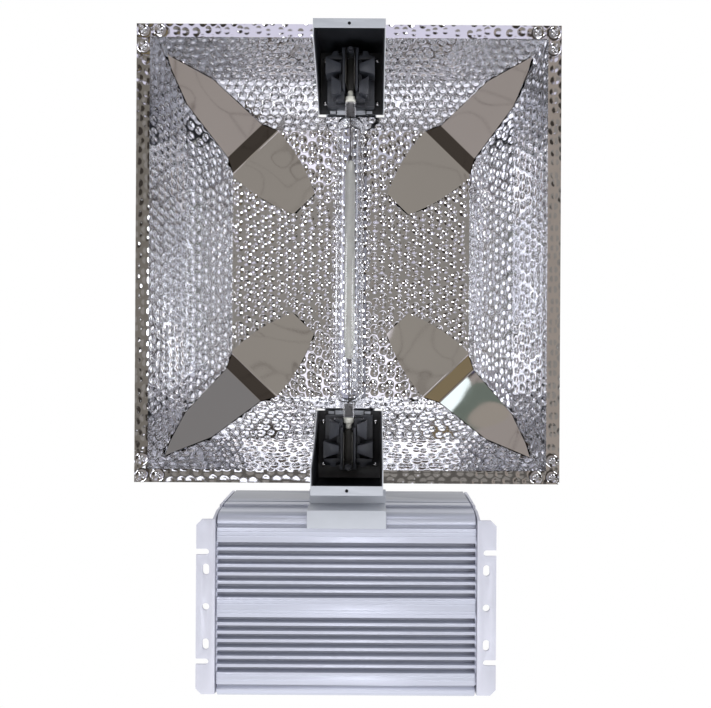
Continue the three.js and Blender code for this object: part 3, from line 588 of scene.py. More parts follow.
@dataclass
class Hood:
    """The dimpled hood: two side panels, two end panels and the keel under the lamp."""

    shop: Shop
    rim_outer: float = 227.2 * MM
    rim_inner: float = 213.0 * MM
    fold: tuple[float, float] = (187.0 * MM, 52.0 * MM)
    crown: tuple[float, float] = (144.0 * MM, 105.0 * MM)
    longer: float = 18.0 * MM
    keel_half: float = 19.0 * MM
    keel_drop: float = 7.0 * MM
    notch_half: float = 39.2 * MM
    notch_top: float = 90.3 * MM
    sheet: float = 0.6 * MM
    step: float = 1.22 * MM
    crease: float = 1.6 * MM
    flange_share: float = 0.24
    strip_half: float = 17.5 * MM
    rib_pitch: float = 2.4 * MM
    rib_depth: float = 0.35 * MM
    rivet_inset: float = 7.5 * MM
    rivet_spacing: float = 17.5 * MM
    rivet_seat: float = 1.3 * MM
    rivet_head: float = 3.25 * MM
    seat_radius: float = 6.2 * MM
    side_salt: float = 0.4
    crown_salt: float = 0.7
    end_salt: float = 0.9
    keel_salt: tuple[float, float] = (1.3, 0.2)
    dimples: Dimples = field(default_factory=Dimples)

    def __post_init__(self) -> None:
        """Takes the hood's middle from the frame and measures its folded section."""
        low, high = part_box("reflector_side_right")
        self.middle_y = (low[1] + high[1]) / 2
        self.section = [(self.rim_outer, 0.0), (self.rim_inner, 0.0), self.fold, self.crown]
        self.arcs = [0.0]
        for start, end in zip(self.section, self.section[1:]):
            self.arcs.append(self.arcs[-1] + math.dist(start, end))

    def rows(self, arcs: Point) -> np.ndarray:
        """Places along the section, about a step apart, with one on every fold."""
        parts = [np.linspace(start, end, max(int((end - start) / self.step), 1), endpoint=False)
                 for start, end in zip(arcs, arcs[1:])]
        return np.append(np.concatenate(parts), arcs[-1])

    def section_at(self, arc: np.ndarray) -> tuple[np.ndarray, np.ndarray, np.ndarray, np.ndarray]:
        """The section's half width, height and outward direction at places along it.

        Args:
            arc: distances from the rim's outer edge.

        Returns:
            Half widths, heights, and the two parts of the outward normal.
        """
        half = np.interp(arc, self.arcs, [point[0] for point in self.section])
        height = np.interp(arc, self.arcs, [point[1] for point in self.section])
        index = np.clip(np.searchsorted(self.arcs, arc, side="right") - 1, 0, len(self.arcs) - 2)
        folds = zip(self.section, self.section[1:])
        directions = np.array([np.subtract(end, start) / math.dist(start, end) for start, end in folds])
        along = directions[index]
        return half, height, along[:, 1], -along[:, 0]

    def fade(self, *distances: np.ndarray) -> np.ndarray:
        """1 well inside the sheet, falling to 0 at its folds and seams."""
        share = np.clip(np.minimum.reduce(distances) / self.crease, 0.0, 1.0)
        return share ** 2 * (3.0 - 2.0 * share)

    def rivet_places(self) -> list[tuple[float, float]]:
        """The rivets of the near right corner: half width and half length from the hood's middle."""
        x = self.rim_outer - self.rivet_inset
        y = x + self.longer
        return [(x, y), (x - self.rivet_spacing, y), (x, y - self.rivet_spacing)]

    def seats(self, x: np.ndarray, y: np.ndarray, arc: np.ndarray) -> np.ndarray:
        """Depth of the round seats pressed for the rivets, and 0 elsewhere."""
        depth = np.zeros_like(x)
        for seat_x, seat_y in self.rivet_places():
            reach = np.hypot(np.abs(x) - seat_x, np.abs(y) - seat_y) / self.seat_radius
            slope = np.clip(reach * 1.6 - 0.6, 0.0, 1.0)
            depth = np.maximum(depth, self.rivet_seat * (1.0 - slope ** 2))
        return np.where(arc <= self.arcs[1], depth, 0.0)

    def shell(self, mesh: Mesh) -> None:
        """Gives a one-sided sheet its thickness, on the side away from the lamp."""
        bmesh.ops.remove_doubles(mesh, verts=mesh.verts, dist=1e-6)
        bmesh.ops.solidify(mesh, geom=mesh.faces, thickness=self.sheet)

    def grid(
        self,
        mesh: Mesh,
        arcs: np.ndarray,
        columns: int,
        place: Callable[[np.ndarray, np.ndarray], np.ndarray],
    ) -> None:
        """Adds a grid and lays it on the hood.

        Args:
            mesh: the bmesh that it is added to.
            arcs: the rows' places along the section.
            columns: how many faces along each row.
            place: gives points from each vertex's share along its row and its place along the section.
        """
        verts = bmesh.ops.create_grid(mesh, x_segments=columns, y_segments=len(arcs) - 1, size=0.5)["verts"]
        flat = np.array([vert.co[:2] for vert in verts]) + 0.5
        arc = arcs[np.rint(flat[:, 1] * (len(arcs) - 1)).astype(int)]
        for vert, point in zip(verts, place(flat[:, 0], arc).tolist()):
            vert.co = point
        mesh.normal_update()
        faces = once(face for vert in verts for face in vert.link_faces)
        if sum(face.normal.z for face in faces) > 0:
            bmesh.ops.reverse_faces(mesh, faces=faces)

    def wall_relief(self, u: np.ndarray, arc: np.ndarray, edge: np.ndarray, salt: float) -> np.ndarray:
        """Dimple depth on the walls and rim: u along the sheet, arc across it, edge to the seam."""
        folds = [np.abs(arc - a) for a in self.arcs[1:]]
        share = np.where(arc < self.arcs[1], self.flange_share, 1.0)
        return self.dimples.depth_at(u + salt, arc + salt) * self.fade(edge, *folds) * share

    def side_wall(self, side: Side) -> None:
        """The rim, outer and inner facet of one side panel, and its share of the crown."""

        def wall_point(share: np.ndarray, arc: np.ndarray) -> np.ndarray:
            """Points on the rim and both facets."""
            half, height, out, up = self.section_at(arc)
            length = half + self.longer
            y = (2.0 * share - 1.0) * length
            depth = self.wall_relief(y, arc, length - np.abs(y), side.value * self.side_salt)
            depth = np.maximum(depth, self.seats(half, y, arc))
            return np.stack([half + out * depth, y, height + up * depth], axis=1)

        def crown_point(share: np.ndarray, arc: np.ndarray) -> np.ndarray:
            """Points on the flat crown beside the keel."""
            length = self.crown[0] + self.longer
            x = self.crown[0] - arc
            y = (2.0 * share - 1.0) * length
            edges = [length - np.abs(y), arc, x - self.keel_half]
            depth = self.dimples.depth_at(y + side.value * self.crown_salt, x) * self.fade(*edges)
            return np.stack([x, y, self.crown[1] + depth], axis=1)

        wall, crown = bmesh.new(), bmesh.new()
        rows = self.rows(self.arcs)
        self.grid(wall, rows, int(2.0 * (self.rim_inner + self.longer) / self.step / 1.02), wall_point)
        across = self.rows([0.0, self.crown[0] - self.keel_half])
        self.grid(crown, across, int(2.0 * (self.crown[0] + self.longer) / self.step), crown_point)
        for mesh, name in ((wall, "wall"), (crown, "crown")):
            self.shell(mesh)
            mirror_to(mesh, End.NEAR, self.middle_y, side)
            nodes = [f"reflector_side_{side.word}"]
            self.shop.piece(mesh, f"hood_{side.word}_{name}", "hammered", nodes, smooth_deg=SHEET_SMOOTH_DEG)

    def end_wall(self, end: End) -> None:
        """One end panel: two wings beside the holder's notch and the bridge over it."""
        rows = self.rows([*self.arcs[:3], self.arc_of(self.notch_top), self.arcs[3]])
        above = np.arange(self.arc_of(self.notch_top), self.arcs[3], self.rib_pitch / 6.0)

        def point(x: np.ndarray, arc: np.ndarray) -> np.ndarray:
            """Points on the panel at places across it."""
            half, height, out, up = self.section_at(arc)
            y = half + self.longer
            edge = np.where(half - x > np.abs(half + x), np.abs(half + x), np.abs(half - x))
            depth = self.wall_relief(x, arc, edge, end.value * self.end_salt)
            depth = np.maximum(depth, self.seats(x, y, arc))
            ribs = 0.5 * self.rib_depth * (1.0 + np.cos(math.tau * arc / self.rib_pitch))
            depth = np.where((np.abs(x) < self.strip_half) & (arc > self.arcs[2]), ribs, depth)
            return np.stack([x, y + out * depth, height + up * depth], axis=1)

        def wing(sign: float) -> Callable[[np.ndarray, np.ndarray], np.ndarray]:
            """The wing on one side of the notch."""
            def place(share: np.ndarray, arc: np.ndarray) -> np.ndarray:
                """Points from the notch's edge to the seam."""
                half = self.section_at(arc)[0]
                return point(sign * (self.notch_half + share * (half - self.notch_half)), arc)
            return place

        mesh = bmesh.new()
        columns = int((self.rim_inner - self.notch_half) / self.step)
        self.grid(mesh, rows, columns, wing(1.0))
        self.grid(mesh, rows, columns, wing(-1.0))
        bridge = int(2.0 * self.notch_half / self.step)
        self.grid(mesh, above, bridge, lambda share, arc: point((2.0 * share - 1.0) * self.notch_half, arc))
        self.shell(mesh)
        mirror_to(mesh, end, self.middle_y)
        nodes = [f"reflector_end_{end.word}"]
        self.shop.piece(mesh, f"hood_{end.word}_end", "hammered", nodes, smooth_deg=SHEET_SMOOTH_DEG)

    def arc_of(self, height: float) -> float:
        """The place along the section where the upper facet has a height."""
        share = (height - self.fold[1]) / (self.crown[1] - self.fold[1])
        return self.arcs[2] + share * (self.arcs[3] - self.arcs[2])

    def keel(self) -> None:
        """The shallow V along the middle of the crown."""
        def point(share: np.ndarray, arc: np.ndarray) -> np.ndarray:
            """Points from one edge of the V over its ridge to the other."""
            x = arc - self.keel_half
            length = self.crown[0] + self.longer
            y = (2.0 * share - 1.0) * length
            height = self.crown[1] - self.keel_drop * (1.0 - np.abs(x) / self.keel_half)
            edges = [length - np.abs(y), self.keel_half - np.abs(x), np.abs(x)]
            depth = self.dimples.depth_at(y + self.keel_salt[0], x + self.keel_salt[1]) * self.fade(*edges)
            return np.stack([x, y, height + depth], axis=1)

        mesh = bmesh.new()
        columns = int(2.0 * (self.crown[0] + self.longer) / self.step)
        self.grid(mesh, self.rows([0.0, self.keel_half, 2.0 * self.keel_half]), columns, point)
        self.shell(mesh)
        mirror_to(mesh, End.NEAR, self.middle_y)
        self.shop.piece(mesh, "hood_keel", "hammered", ["reflector_keel"], smooth_deg=SHEET_SMOOTH_DEG)

    def rivets(self, end: End, side: Side) -> None:
        """The three blind rivets of one corner, each a dome with its mandrel hole."""
        mesh = bmesh.new()
        head, hole = self.rivet_head, 1.0 * MM
        low, base = 0.08 * MM, self.rivet_seat + 0.1 * MM
        rise = base - low
        arc = [(head * math.cos(a), base - rise * math.sin(a)) for a in np.linspace(0.0, 1.25, 7)]
        profile = [(0.0, base), (head * 0.98, base), *arc, (hole, low + 0.04 * MM), (hole, base - 0.2 * MM),
                   (0.0, base - 0.2 * MM)]
        for x, y in self.rivet_places():
            turned(mesh, profile, (x, y, 0.0), (0.0, 0.0, 1.0), 24)
        mirror_to(mesh, end, self.middle_y, side)
        self.shop.piece(mesh, f"corner_rivets_{end.word}_{side.word}", "screw", smooth_deg=40.0)

    def build(self) -> None:
        """Builds every part of the hood."""
        for side in Side:
            self.side_wall(side)
        for end in End:
            self.end_wall(end)
        self.keel()
        for end in End:
            for side in Side:
                self.rivets(end, side)


@dataclass
class CornerMirrors:
    """Four smooth leaves, each bent at both sides of a flat strip across a corner of the crown."""

    shop: Shop
    hood: Hood
    bend: tuple[float, float] = (117.0 * MM, 134.5 * MM)
    turn: float = math.radians(46.0)
    slope: float = math.radians(37.2)
    half_width: float = 39.0 * MM
    inner_length: float = 86.6 * MM
    inner_end: float = 18.3 * MM
    inner_bow: float = 191.0 * MM
    leaf_radius: float = 298.4 * MM
    top: float = 104.6 * MM
    thick: float = 0.5 * MM
    bend_run: float = 1.6 * MM
    strip: float = 18.0 * MM
    strip_slope: float = math.radians(21.5)
    wave: float = 0.10 * MM
    inner_tilt: float = math.radians(2.5)
    clear: float = 1.1 * MM
    edge: float = 0.4 * MM
    point: float = 0.3 * MM
    grid: tuple[int, int] = (220, 44)
    waves: int = 5
    wave_length: tuple[float, float] = (60.0 * MM, 140.0 * MM)

    def half_at(self, u: np.ndarray) -> np.ndarray:
        """Half the leaf's width at a distance outwards from its bend."""
        chord = np.sqrt(np.maximum(self.leaf_radius ** 2 - u ** 2, 0.0))
        outer = self.half_width - (self.leaf_radius - chord)
        share = np.clip(-u / self.inner_length, 0.0, 1.0)
        straight = self.half_width + (self.inner_end - self.half_width) * share
        inner = straight + self.inner_length ** 2 * share * (1.0 - share) / (2.0 * self.inner_bow)
        return np.where(u > 0.0, np.maximum(outer, 0.25 * MM), inner)

    def profile(self, u: np.ndarray, leaf: float) -> tuple[np.ndarray, np.ndarray]:
        """Where the bent leaf runs, seen from its side.

        Args:
            u: distances along the sheet from its bend, outwards.
            leaf: the length outwards of the bend.

        Returns:
            Level distances from the bend, and heights.
        """
        fine = np.linspace(-self.inner_length, leaf, 2000)
        first = np.clip(fine / self.bend_run + 0.5, 0.0, 1.0)
        second = np.clip((fine - self.strip) / self.bend_run + 0.5, 0.0, 1.0)
        angle = (self.strip_slope + self.inner_tilt) * first - self.inner_tilt
        angle = angle + (self.slope - self.strip_slope) * second
        gap = fine[1] - fine[0]
        along = np.cumsum(np.cos(angle)) * gap - self.inner_length
        drop = np.cumsum(np.sin(angle)) * gap
        drop = drop - drop.min()
        return np.interp(u, fine, along), self.top - np.interp(u, fine, drop)

    def build_one(self, end: End, side: Side, seed: int) -> None:
        """Makes one leaf, trimmed to the hood's walls.

        Args:
            end: the end that it is at.
            side: the side that it is on.
            seed: what its slight waves are drawn from.
        """
        leaf = math.sqrt(self.leaf_radius ** 2 - (self.leaf_radius - self.half_width) ** 2)
        mesh = bmesh.new()
        rows, columns = self.grid
        verts = bmesh.ops.create_grid(mesh, x_segments=rows, y_segments=columns, size=0.5)["verts"]
        flat = np.array([vert.co[:2] for vert in verts]) + 0.5
        u = -self.inner_length + flat[:, 0] * (self.inner_length + leaf)
        along, z = self.profile(u, leaf)
        walls = self.hood.section[1:]
        half = np.interp(z, [height for _, height in walls], [wide for wide, _ in walls]) - self.clear
        cos, sin = math.cos(self.turn), math.sin(self.turn)
        reach = self.half_at(u) - self.edge
        low = np.maximum(-reach, (self.bend[0] + along * cos - half) / sin)
        high = np.minimum(reach, (half + self.hood.longer - self.bend[1] - along * sin) / cos)
        v = low + flat[:, 1] * np.maximum(high - low, self.point)
        draw = np.random.default_rng(seed)
        for _ in range(self.waves):
            way, phase = draw.uniform(0.0, math.tau, 2)
            length = draw.uniform(*self.wave_length)
            run = (u * math.cos(way) + v * math.sin(way)) / length
            z = z - self.wave * 0.4 * (1.0 + np.sin(math.tau * run + phase))
        x = self.bend[0] + along * cos - v * sin
        y = self.bend[1] + along * sin + v * cos
        for vert, point in zip(verts, np.stack([x, y, z], axis=1).tolist()):
            vert.co = point
        bmesh.ops.recalc_face_normals(mesh, faces=mesh.faces)
        if mesh.faces[:][0].normal.z > 0:
            bmesh.ops.reverse_faces(mesh, faces=mesh.faces)
        bmesh.ops.solidify(mesh, geom=mesh.faces, thickness=self.thick)
        mirror_to(mesh, end, self.hood.middle_y, side)
        node = f"corner_mirror_{end.word}_{side.word}"
        self.shop.piece(mesh, f"{node}_leaf", "mirror", [node], smooth_deg=40.0)

    def build(self) -> None:
        """Makes the four leaves."""
        for number, (end, side) in enumerate((e, s) for e in End for s in Side):
            self.build_one(end, side, 40 + number)


# ---------------------------------------------------------------- lampholders and lamp


@dataclass
class HolderEnd:
    """One end's housing, black liner, lampholder, contact and screws."""

    shop: Shop
    middle_y: float
    end: End
    back: float = 87.6 * MM
    screw_x: float = 31.0 * MM
    screw_y: tuple[float, float] = (190.0 * MM, 241.0 * MM)
    body_y: tuple[float, float] = (181.0 * MM, 238.6 * MM)
    rail_x: tuple[float, float] = (5.9 * MM, 8.6 * MM)
    wing_front: float = 37.0 * MM
    wing_back: float = 60.0 * MM

    def wing(self, mesh: Mesh, x: tuple[float, float], outer: tuple[float, float],
             inner: tuple[float, float]) -> None:
        """Adds a pair of guide wings.

        Args:
            mesh: the lampholder's bmesh.
            x: the wing's inner and outer half widths.
            outer: where its outer edge starts and ends.
            inner: where its inner edge starts and ends.
        """
        front, root = self.wing_front, self.wing_front + 4.0 * MM
        for sign in (-1.0, 1.0):
            outline = [(sign * x[0], inner[0], root), (sign * x[1], outer[0], front),
                       (sign * x[1], outer[1], front), (sign * x[0], inner[1], root)]
            prism(mesh, outline, (0.0, 0.0, self.wing_back - front))

    def lampholder(self) -> None:
        """The slotted body with its wings, rails, end block and shoulders."""
        mesh = bmesh.new()
        low_y, high_y = self.body_y
        block(mesh, (-27.5 * MM, low_y, 70.0 * MM), (27.5 * MM, high_y, self.back))
        rail_low = (self.rail_x[0], 191.0 * MM, 41.0 * MM)
        block_pair(mesh, rail_low, (self.rail_x[1], high_y - 3.0 * MM, 72.0 * MM))
        block_pair(mesh, (8.9 * MM, 184.0 * MM, 52.0 * MM), (13.0 * MM, 232.0 * MM, 72.0 * MM))
        for sign in (-1.0, 1.0):
            shoulder = [(9.0, 226.5), (27.5, 227.5), (27.5, 230.0), (21.0, 232.0), (20.0, 236.0),
                        (14.0, 236.5), (13.5, 231.5), (9.0, 231.0)]
            prism(mesh, [(sign * x * MM, y * MM, 48.0 * MM) for x, y in shoulder], (0.0, 0.0, 24.0 * MM))
            throat = [(6.8, 182.5), (17.0, 182.5), (13.0, 186.0), (9.5, 191.5), (6.8, 192.5)]
            prism(mesh, [(sign * x * MM, y * MM, 50.0 * MM) for x, y in throat], (0.0, 0.0, 21.0 * MM))
        self.wing(mesh, (9.9 * MM, 21.0 * MM), (183.0 * MM, 204.0 * MM), (187.0 * MM, 199.0 * MM))
        self.wing(mesh, (10.2 * MM, 27.6 * MM), (206.3 * MM, 224.8 * MM), (211.5 * MM, 219.5 * MM))
        block(mesh, (-9.5 * MM, 233.5 * MM, 44.0 * MM), (9.5 * MM, high_y, 71.0 * MM))
        turned(mesh, [(0.0, 43.4 * MM), (2.2 * MM, 43.4 * MM), (2.2 * MM, 42.0 * MM), (3.4 * MM, 42.0 * MM),
                      (3.4 * MM, 46.0 * MM), (0.0, 46.0 * MM)], (0.0, 236.0 * MM, 0.0), (0.0, 0.0, 1.0), 20)
        bevel_sharp(mesh, 0.35 * MM, 40.0)
        mirror_to(mesh, self.end, self.middle_y)
        node = f"lampholder_{self.end.word}"
        self.shop.piece(mesh, f"{node}_body", "holder", [node])

    def screws(self) -> None:
        """Four pan head screws through the liner."""
        mesh = bmesh.new()
        face = 87.9 * MM
        dome = [(2.9 * MM * math.cos(a), face - 1.7 * MM * math.sin(a)) for a in np.linspace(0.0, 1.5, 7)]
        for x in (-self.screw_x, self.screw_x):
            for y in self.screw_y:
                turned(mesh, [(0.0, face), (2.9 * MM, face), *dome[1:], (0.0, face - 1.7 * MM)], (x, y, 0.0),
                       (0.0, 0.0, 1.0), 20)
        mirror_to(mesh, self.end, self.middle_y)
        self.shop.piece(mesh, f"liner_screws_{self.end.word}", "screw")

    def tabs(self) -> None:
        """Two folded tabs of the hood that show at the liner's inner edge."""
        mesh = bmesh.new()
        block_pair(mesh, (18.2 * MM, 177.2 * MM, 87.0 * MM), (25.0 * MM, 180.6 * MM, 87.7 * MM))
        bevel_sharp(mesh, 0.2 * MM)
        mirror_to(mesh, self.end, self.middle_y)
        self.shop.piece(mesh, f"liner_tabs_{self.end.word}", "housing")

    def build(self) -> None:
        """Builds this end."""
        word = self.end.word
        self.shop.refined(f"holder_housing_{word}", 0.35 * MM)
        self.shop.refined(f"holder_liner_{word}", 0.2 * MM)
        self.shop.refined(f"contact_clip_{word}", 0.25 * MM)
        self.lampholder()
        self.screws()
        self.tabs()


@dataclass
class Lamp:
    """The double-ended lamp, on an axis along Y."""

    shop: Shop
    middle_y: float
    axis_z: float = 58.0 * MM
    bulb: float = 16.0 * MM
    wall: float = 1.1 * MM
    straight: float = 149.0 * MM
    pinch: tuple[float, float] = (164.0 * MM, 180.6 * MM)
    pinch_half: float = 5.85 * MM
    flatten: float = 0.42

    @property
    def centre(self) -> tuple[float, float, float]:
        """The lamp's middle."""
        return (0.0, self.middle_y, self.axis_z)

    def spin(self, mesh: Mesh, profile: Sequence[tuple[float, float]], steps: int) -> None:
        """Turns a profile about the lamp's axis."""
        turned(mesh, profile, self.centre, (0.0, 1.0, 0.0), steps)

    def envelope(self) -> None:
        """The clear quartz tube, rounded at both ends into its flat pinches."""
        start, end = self.pinch
        shoulder = np.linspace(0.0, 1.0, 12)
        outer = [(self.pinch_half + (self.bulb - self.pinch_half) * math.cos(s * math.pi / 2) ** 0.8,
                  self.straight + (start - self.straight) * math.sin(s * math.pi / 2)) for s in shoulder]
        bore = 1.1 * MM
        inner = [(max(r - self.wall, bore), y - self.wall * 0.8) for r, y in outer
                 if r - self.wall > 2.0 * MM]
        half = [*outer, (self.pinch_half, end), (bore, end), (bore, start - 1.5 * MM), *reversed(inner)]
        loop = [*half, *[(r, -y) for r, y in reversed(half)], half[0]]
        mesh = bmesh.new()
        self.spin(mesh, loop, 48)
        for vert in mesh.verts:
            reach = (abs(vert.co.y - self.middle_y) - self.straight) / (start - self.straight)
            share = min(max(reach, 0.0), 1.0) ** 2
            vert.co.z = self.axis_z + (vert.co.z - self.axis_z) * (1.0 + (self.flatten - 1.0) * share)
        self.shop.piece(mesh, "lamp_envelope_glass", "quartz", ["lamp_envelope"], smooth_deg=SHEET_SMOOTH_DEG)

    def foil(self, end: End) -> None:
        """The dark foil sealed in one pinch."""
        mesh = bmesh.new()
        start, stop = self.pinch
        block(mesh, (-4.6 * MM, start + 1.0 * MM, self.axis_z - 1.7 * MM),
              (4.6 * MM, stop - 1.0 * MM, self.axis_z - 1.3 * MM))
        mirror_to(mesh, end, self.middle_y)
        self.shop.piece(mesh, f"pinch_foil_{end.word}", "pinch", body="lamp", slot="wire")

    def arc_tube(self) -> None:
        """The ceramic arc tube with its end collars, and the metal tubes beyond them."""
        mesh = bmesh.new()
        radius, body = 6.15 * MM, 99.0 * MM
        half = [(radius, body - 1.0 * MM), (radius - 0.7 * MM, body), (radius - 1.0 * MM, body + 1.0 * MM),
                (radius - 1.2 * MM, 112.0 * MM), (2.6 * MM, 113.5 * MM), (0.0, 113.5 * MM)]
        self.spin(mesh, [*[(r, -y) for r, y in reversed(half)], *half], 32)
        self.shop.piece(mesh, "arc_tube_ceramic", "arc_ceramic", ["arc_tube"], smooth_deg=40.0)
        for end in End:
            mesh = bmesh.new()
            profile = [(0.0, 113.7), (2.1, 113.7), (2.1, 119.4), (1.4, 120.0), (0.0, 120.0)]
            self.spin(mesh, [(r * MM, end.value * y * MM) for r, y in profile], 20)
            self.shop.piece(mesh, f"niobium_tube_{end.word}", "niobium", body="lamp", slot="wire")

    def leads(self, end: End) -> None:
        """The lead wire from the arc tube into the pinch."""
        mesh = bmesh.new()
        profile = [(0.0, 120.2), (0.7, 120.2), (0.7, 167.0), (0.0, 167.0)]
        self.spin(mesh, [(r * MM, end.value * y * MM) for r, y in profile], 12)
        self.shop.piece(mesh, f"lamp_lead_{end.word}_wire", "niobium", [f"lamp_lead_{end.word}"])

    def cap(self, end: End) -> None:
        """One ceramic end cap: a wide collar and a narrow tip."""
        mesh = bmesh.new()
        profile = [(0.0, 181.3), (5.4, 181.3), (5.8, 181.8), (5.8, 186.6), (5.4, 187.2), (4.6, 187.6),
                   (3.3, 188.6), (3.2, 192.8), (2.4, 194.0), (0.0, 194.2)]
        self.spin(mesh, [(r * MM, end.value * y * MM) for r, y in profile], 28)
        self.shop.piece(mesh, f"lamp_cap_{end.word}_ceramic", "cap_ceramic", [f"lamp_cap_{end.word}"])

    def build(self) -> None:
        """Builds the whole lamp."""
        self.envelope()
        self.arc_tube()
        for end in End:
            self.foil(end)
            self.leads(end)
            self.cap(end)


# ---------------------------------------------------------------- ballast, spine and hangers


@dataclass
class Ballast:
    """The finned ballast with its end plates and controls."""

    shop: Shop
    knob_flutes: int = 24
    rib_places: tuple[float, ...] = (-79.5, -75.0, -6.5, -2.2, 4.8, 8.1, 74.5, 79.0)
    rib_half: float = 0.9 * MM
    rib_height: float = 0.4 * MM
    inside: tuple[str, ...] = (
        "circuit_board", "heat_spreader", "boost_choke", "output_choke", "filter_choke", "bulk_capacitor_1",
        "bulk_capacitor_2", "bulk_capacitor_3", "dimmer_switch", "gasket_left", "gasket_right",
    )

    def screws(self) -> None:
        """The end plates' pan head screws, each with a round recess."""
        for side in Side:
            for number in range(1, 5):
                node = f"plate_screw_{side.word}_{number}"
                low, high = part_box(node)
                centre = ((high[1] + low[1]) / 2, (high[2] + low[2]) / 2)
                head = abs(high[0] if side is Side.RIGHT else low[0])
                mesh = bmesh.new()
                radius, height = 3.9 * MM, 2.3 * MM
                dome = [(radius * math.cos(a), head - height + height * 0.98 * math.sin(a))
                        for a in np.linspace(0.0, 1.0, 6)]
                recess = 1.3 * MM
                shank, end, floor = 1.7 * MM, head - height - 4.0 * MM, head - 1.5 * MM
                profile = [(0.0, end), (shank, end), (shank, head - height), *dome,
                           (recess, head - 0.3 * MM), (recess, floor), (0.0, floor)]
                turned(mesh, profile, (0.0, *centre), (side.value, 0.0, 0.0), 24)
                self.shop.piece(mesh, f"{node}_head", "screw", [node])

    def ribs(self) -> None:
        """The shallow ribs along the shell's three flat bands."""
        low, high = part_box("ballast_shell")
        middle = (low[1] + high[1]) / 2
        mesh = bmesh.new()
        for place in self.rib_places:
            y = middle + place * MM
            outline = [(low[0], y - self.rib_half, low[2] + 0.1 * MM), (low[0], y, low[2] - self.rib_height),
                       (low[0], y + self.rib_half, low[2] + 0.1 * MM)]
            prism(mesh, outline, (high[0] - low[0], 0.0, 0.0))
        self.shop.piece(mesh, "ballast_shell_ribs", "extrusion")

    def knob(self) -> None:
        """The fluted dimmer knob with its pointer line."""
        low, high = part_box("dimmer_knob")
        middle = ((low[1] + high[1]) / 2, (low[2] + high[2]) / 2)
        mesh = bmesh.new()
        outer, face = (high[1] - low[1]) / 2, high[0] - 1.5 * MM
        bore, foot = 3.1 * MM, low[0]
        profile = [(0.0, foot + 8.0 * MM), (bore, foot + 8.0 * MM), (bore, foot), (outer, foot),
                   (outer, foot + 2.0 * MM), (outer * 0.9, foot + 3.0 * MM),
                   (outer * 0.82, face - 0.8 * MM), (outer * 0.76, face), (0.0, face)]
        turned(mesh, profile, (0.0, *middle), (1.0, 0.0, 0.0), self.knob_flutes * 4)
        for vert in mesh.verts:
            away = Vector((0.0, vert.co.y - middle[0], vert.co.z - middle[1]))
            if vert.co.x > low[0] + 2.5 * MM and away.length > outer * 0.6:
                flute = 0.5 + 0.5 * math.cos(self.knob_flutes * math.atan2(away.z, away.y))
                vert.co -= away.normalized() * 0.45 * MM * flute
        self.shop.piece(mesh, "dimmer_knob_grip", "knob", ["dimmer_knob"])
        mesh = bmesh.new()
        block(mesh, (face + 0.02 * MM, middle[0] - 0.7 * MM, middle[1] + 1.5 * MM),
              (face + 0.4 * MM, middle[0] + 0.7 * MM, middle[1] + outer * 0.7))
        bevel_sharp(mesh, 0.1 * MM)
        self.shop.piece(mesh, "dimmer_pointer", "cap_ceramic", body="dimmer")

    def build(self) -> None:
        """Builds the ballast round its hidden electronics."""
        self.shop.refined("ballast_shell", 0.3 * MM, sharper_than=25.0)
        for side in Side:
            self.shop.refined(f"end_plate_{side.word}", 0.4 * MM)
        for node in ("mains_inlet", "control_jack_1", "control_jack_2", "status_lens"):
            self.shop.refined(node, 0.3 * MM)
        self.ribs()
        self.screws()
        self.knob()
        for node in self.inside:
            dress_node(self.shop, node)


def dress_node(shop: Shop, node: str) -> None:
    """Gives a CAD node the material of its own slot.

    Args:
        shop: holds the frame and the materials.
        node: the node's name.
    """
    data = shop.frame["nodes"][node]
    material = shop.paint.get(shop.slot_of[node])
    for place in data.material_slots:
        place.material = material


@dataclass
class Carrier:
    """The spine, neck, saddle and hangers."""

    shop: Shop
    wire: float = 2.0 * MM
    corner: float = 5.0 * MM

    def bail(self, place: str) -> None:
        """One wire bail, as a rounded rectangle open at its pivot.

        Args:
            place: "hood" or "ballast".
        """
        node = f"hanger_bail_{place}"
        low, high = (Vector(v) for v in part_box(node))
        lug_low, lug_high = (Vector(v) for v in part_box(f"hanger_lug_{place}"))
        pivot_y = (lug_low.y + lug_high.y) / 2
        far_y = high.y - self.wire if high.y > lug_high.y + self.wire else low.y + self.wire
        leg, z = high.x - self.wire, (low.z + high.z) / 2
        inner = lug_high.x - 6.0 * MM
        corners = [(inner, pivot_y), (leg, pivot_y), (leg, far_y),
                   (-leg, far_y), (-leg, pivot_y), (-inner, pivot_y)]
        path = [Vector((*corners[0], z))]
        for before, here, after in zip(corners, corners[1:], corners[2:]):
            point = Vector((*here, z))
            into = (Vector((*before, z)) - point).normalized() * self.corner
            out = (Vector((*after, z)) - point).normalized() * self.corner
            centre = point + into + out
            for share in np.linspace(0.0, 1.0, 9):
                turn = share * math.pi / 2
                path.append(centre - out * math.cos(turn) - into * math.sin(turn))
        path.append(Vector((*corners[-1], z)))
        mesh = bmesh.new()
        sweep(mesh, path, self.wire, 16)
        self.shop.piece(mesh, f"{node}_wire", "wire", [node], smooth_deg=SHEET_SMOOTH_DEG)

    def build(self) -> None:
        """Builds what carries the hood and the ballast."""
        self.shop.refined("spine", 0.6 * MM)
        self.shop.refined("neck", 0.5 * MM)
        self.shop.refined("ballast_saddle", 0.7 * MM)
        for place in ("hood", "ballast"):
            self.shop.refined(f"hanger_lug_{place}", 0.5 * MM)
            self.bail(place)
        for node in ("supply_lead_near", "supply_lead_far"):
            dress_node(self.shop, node)


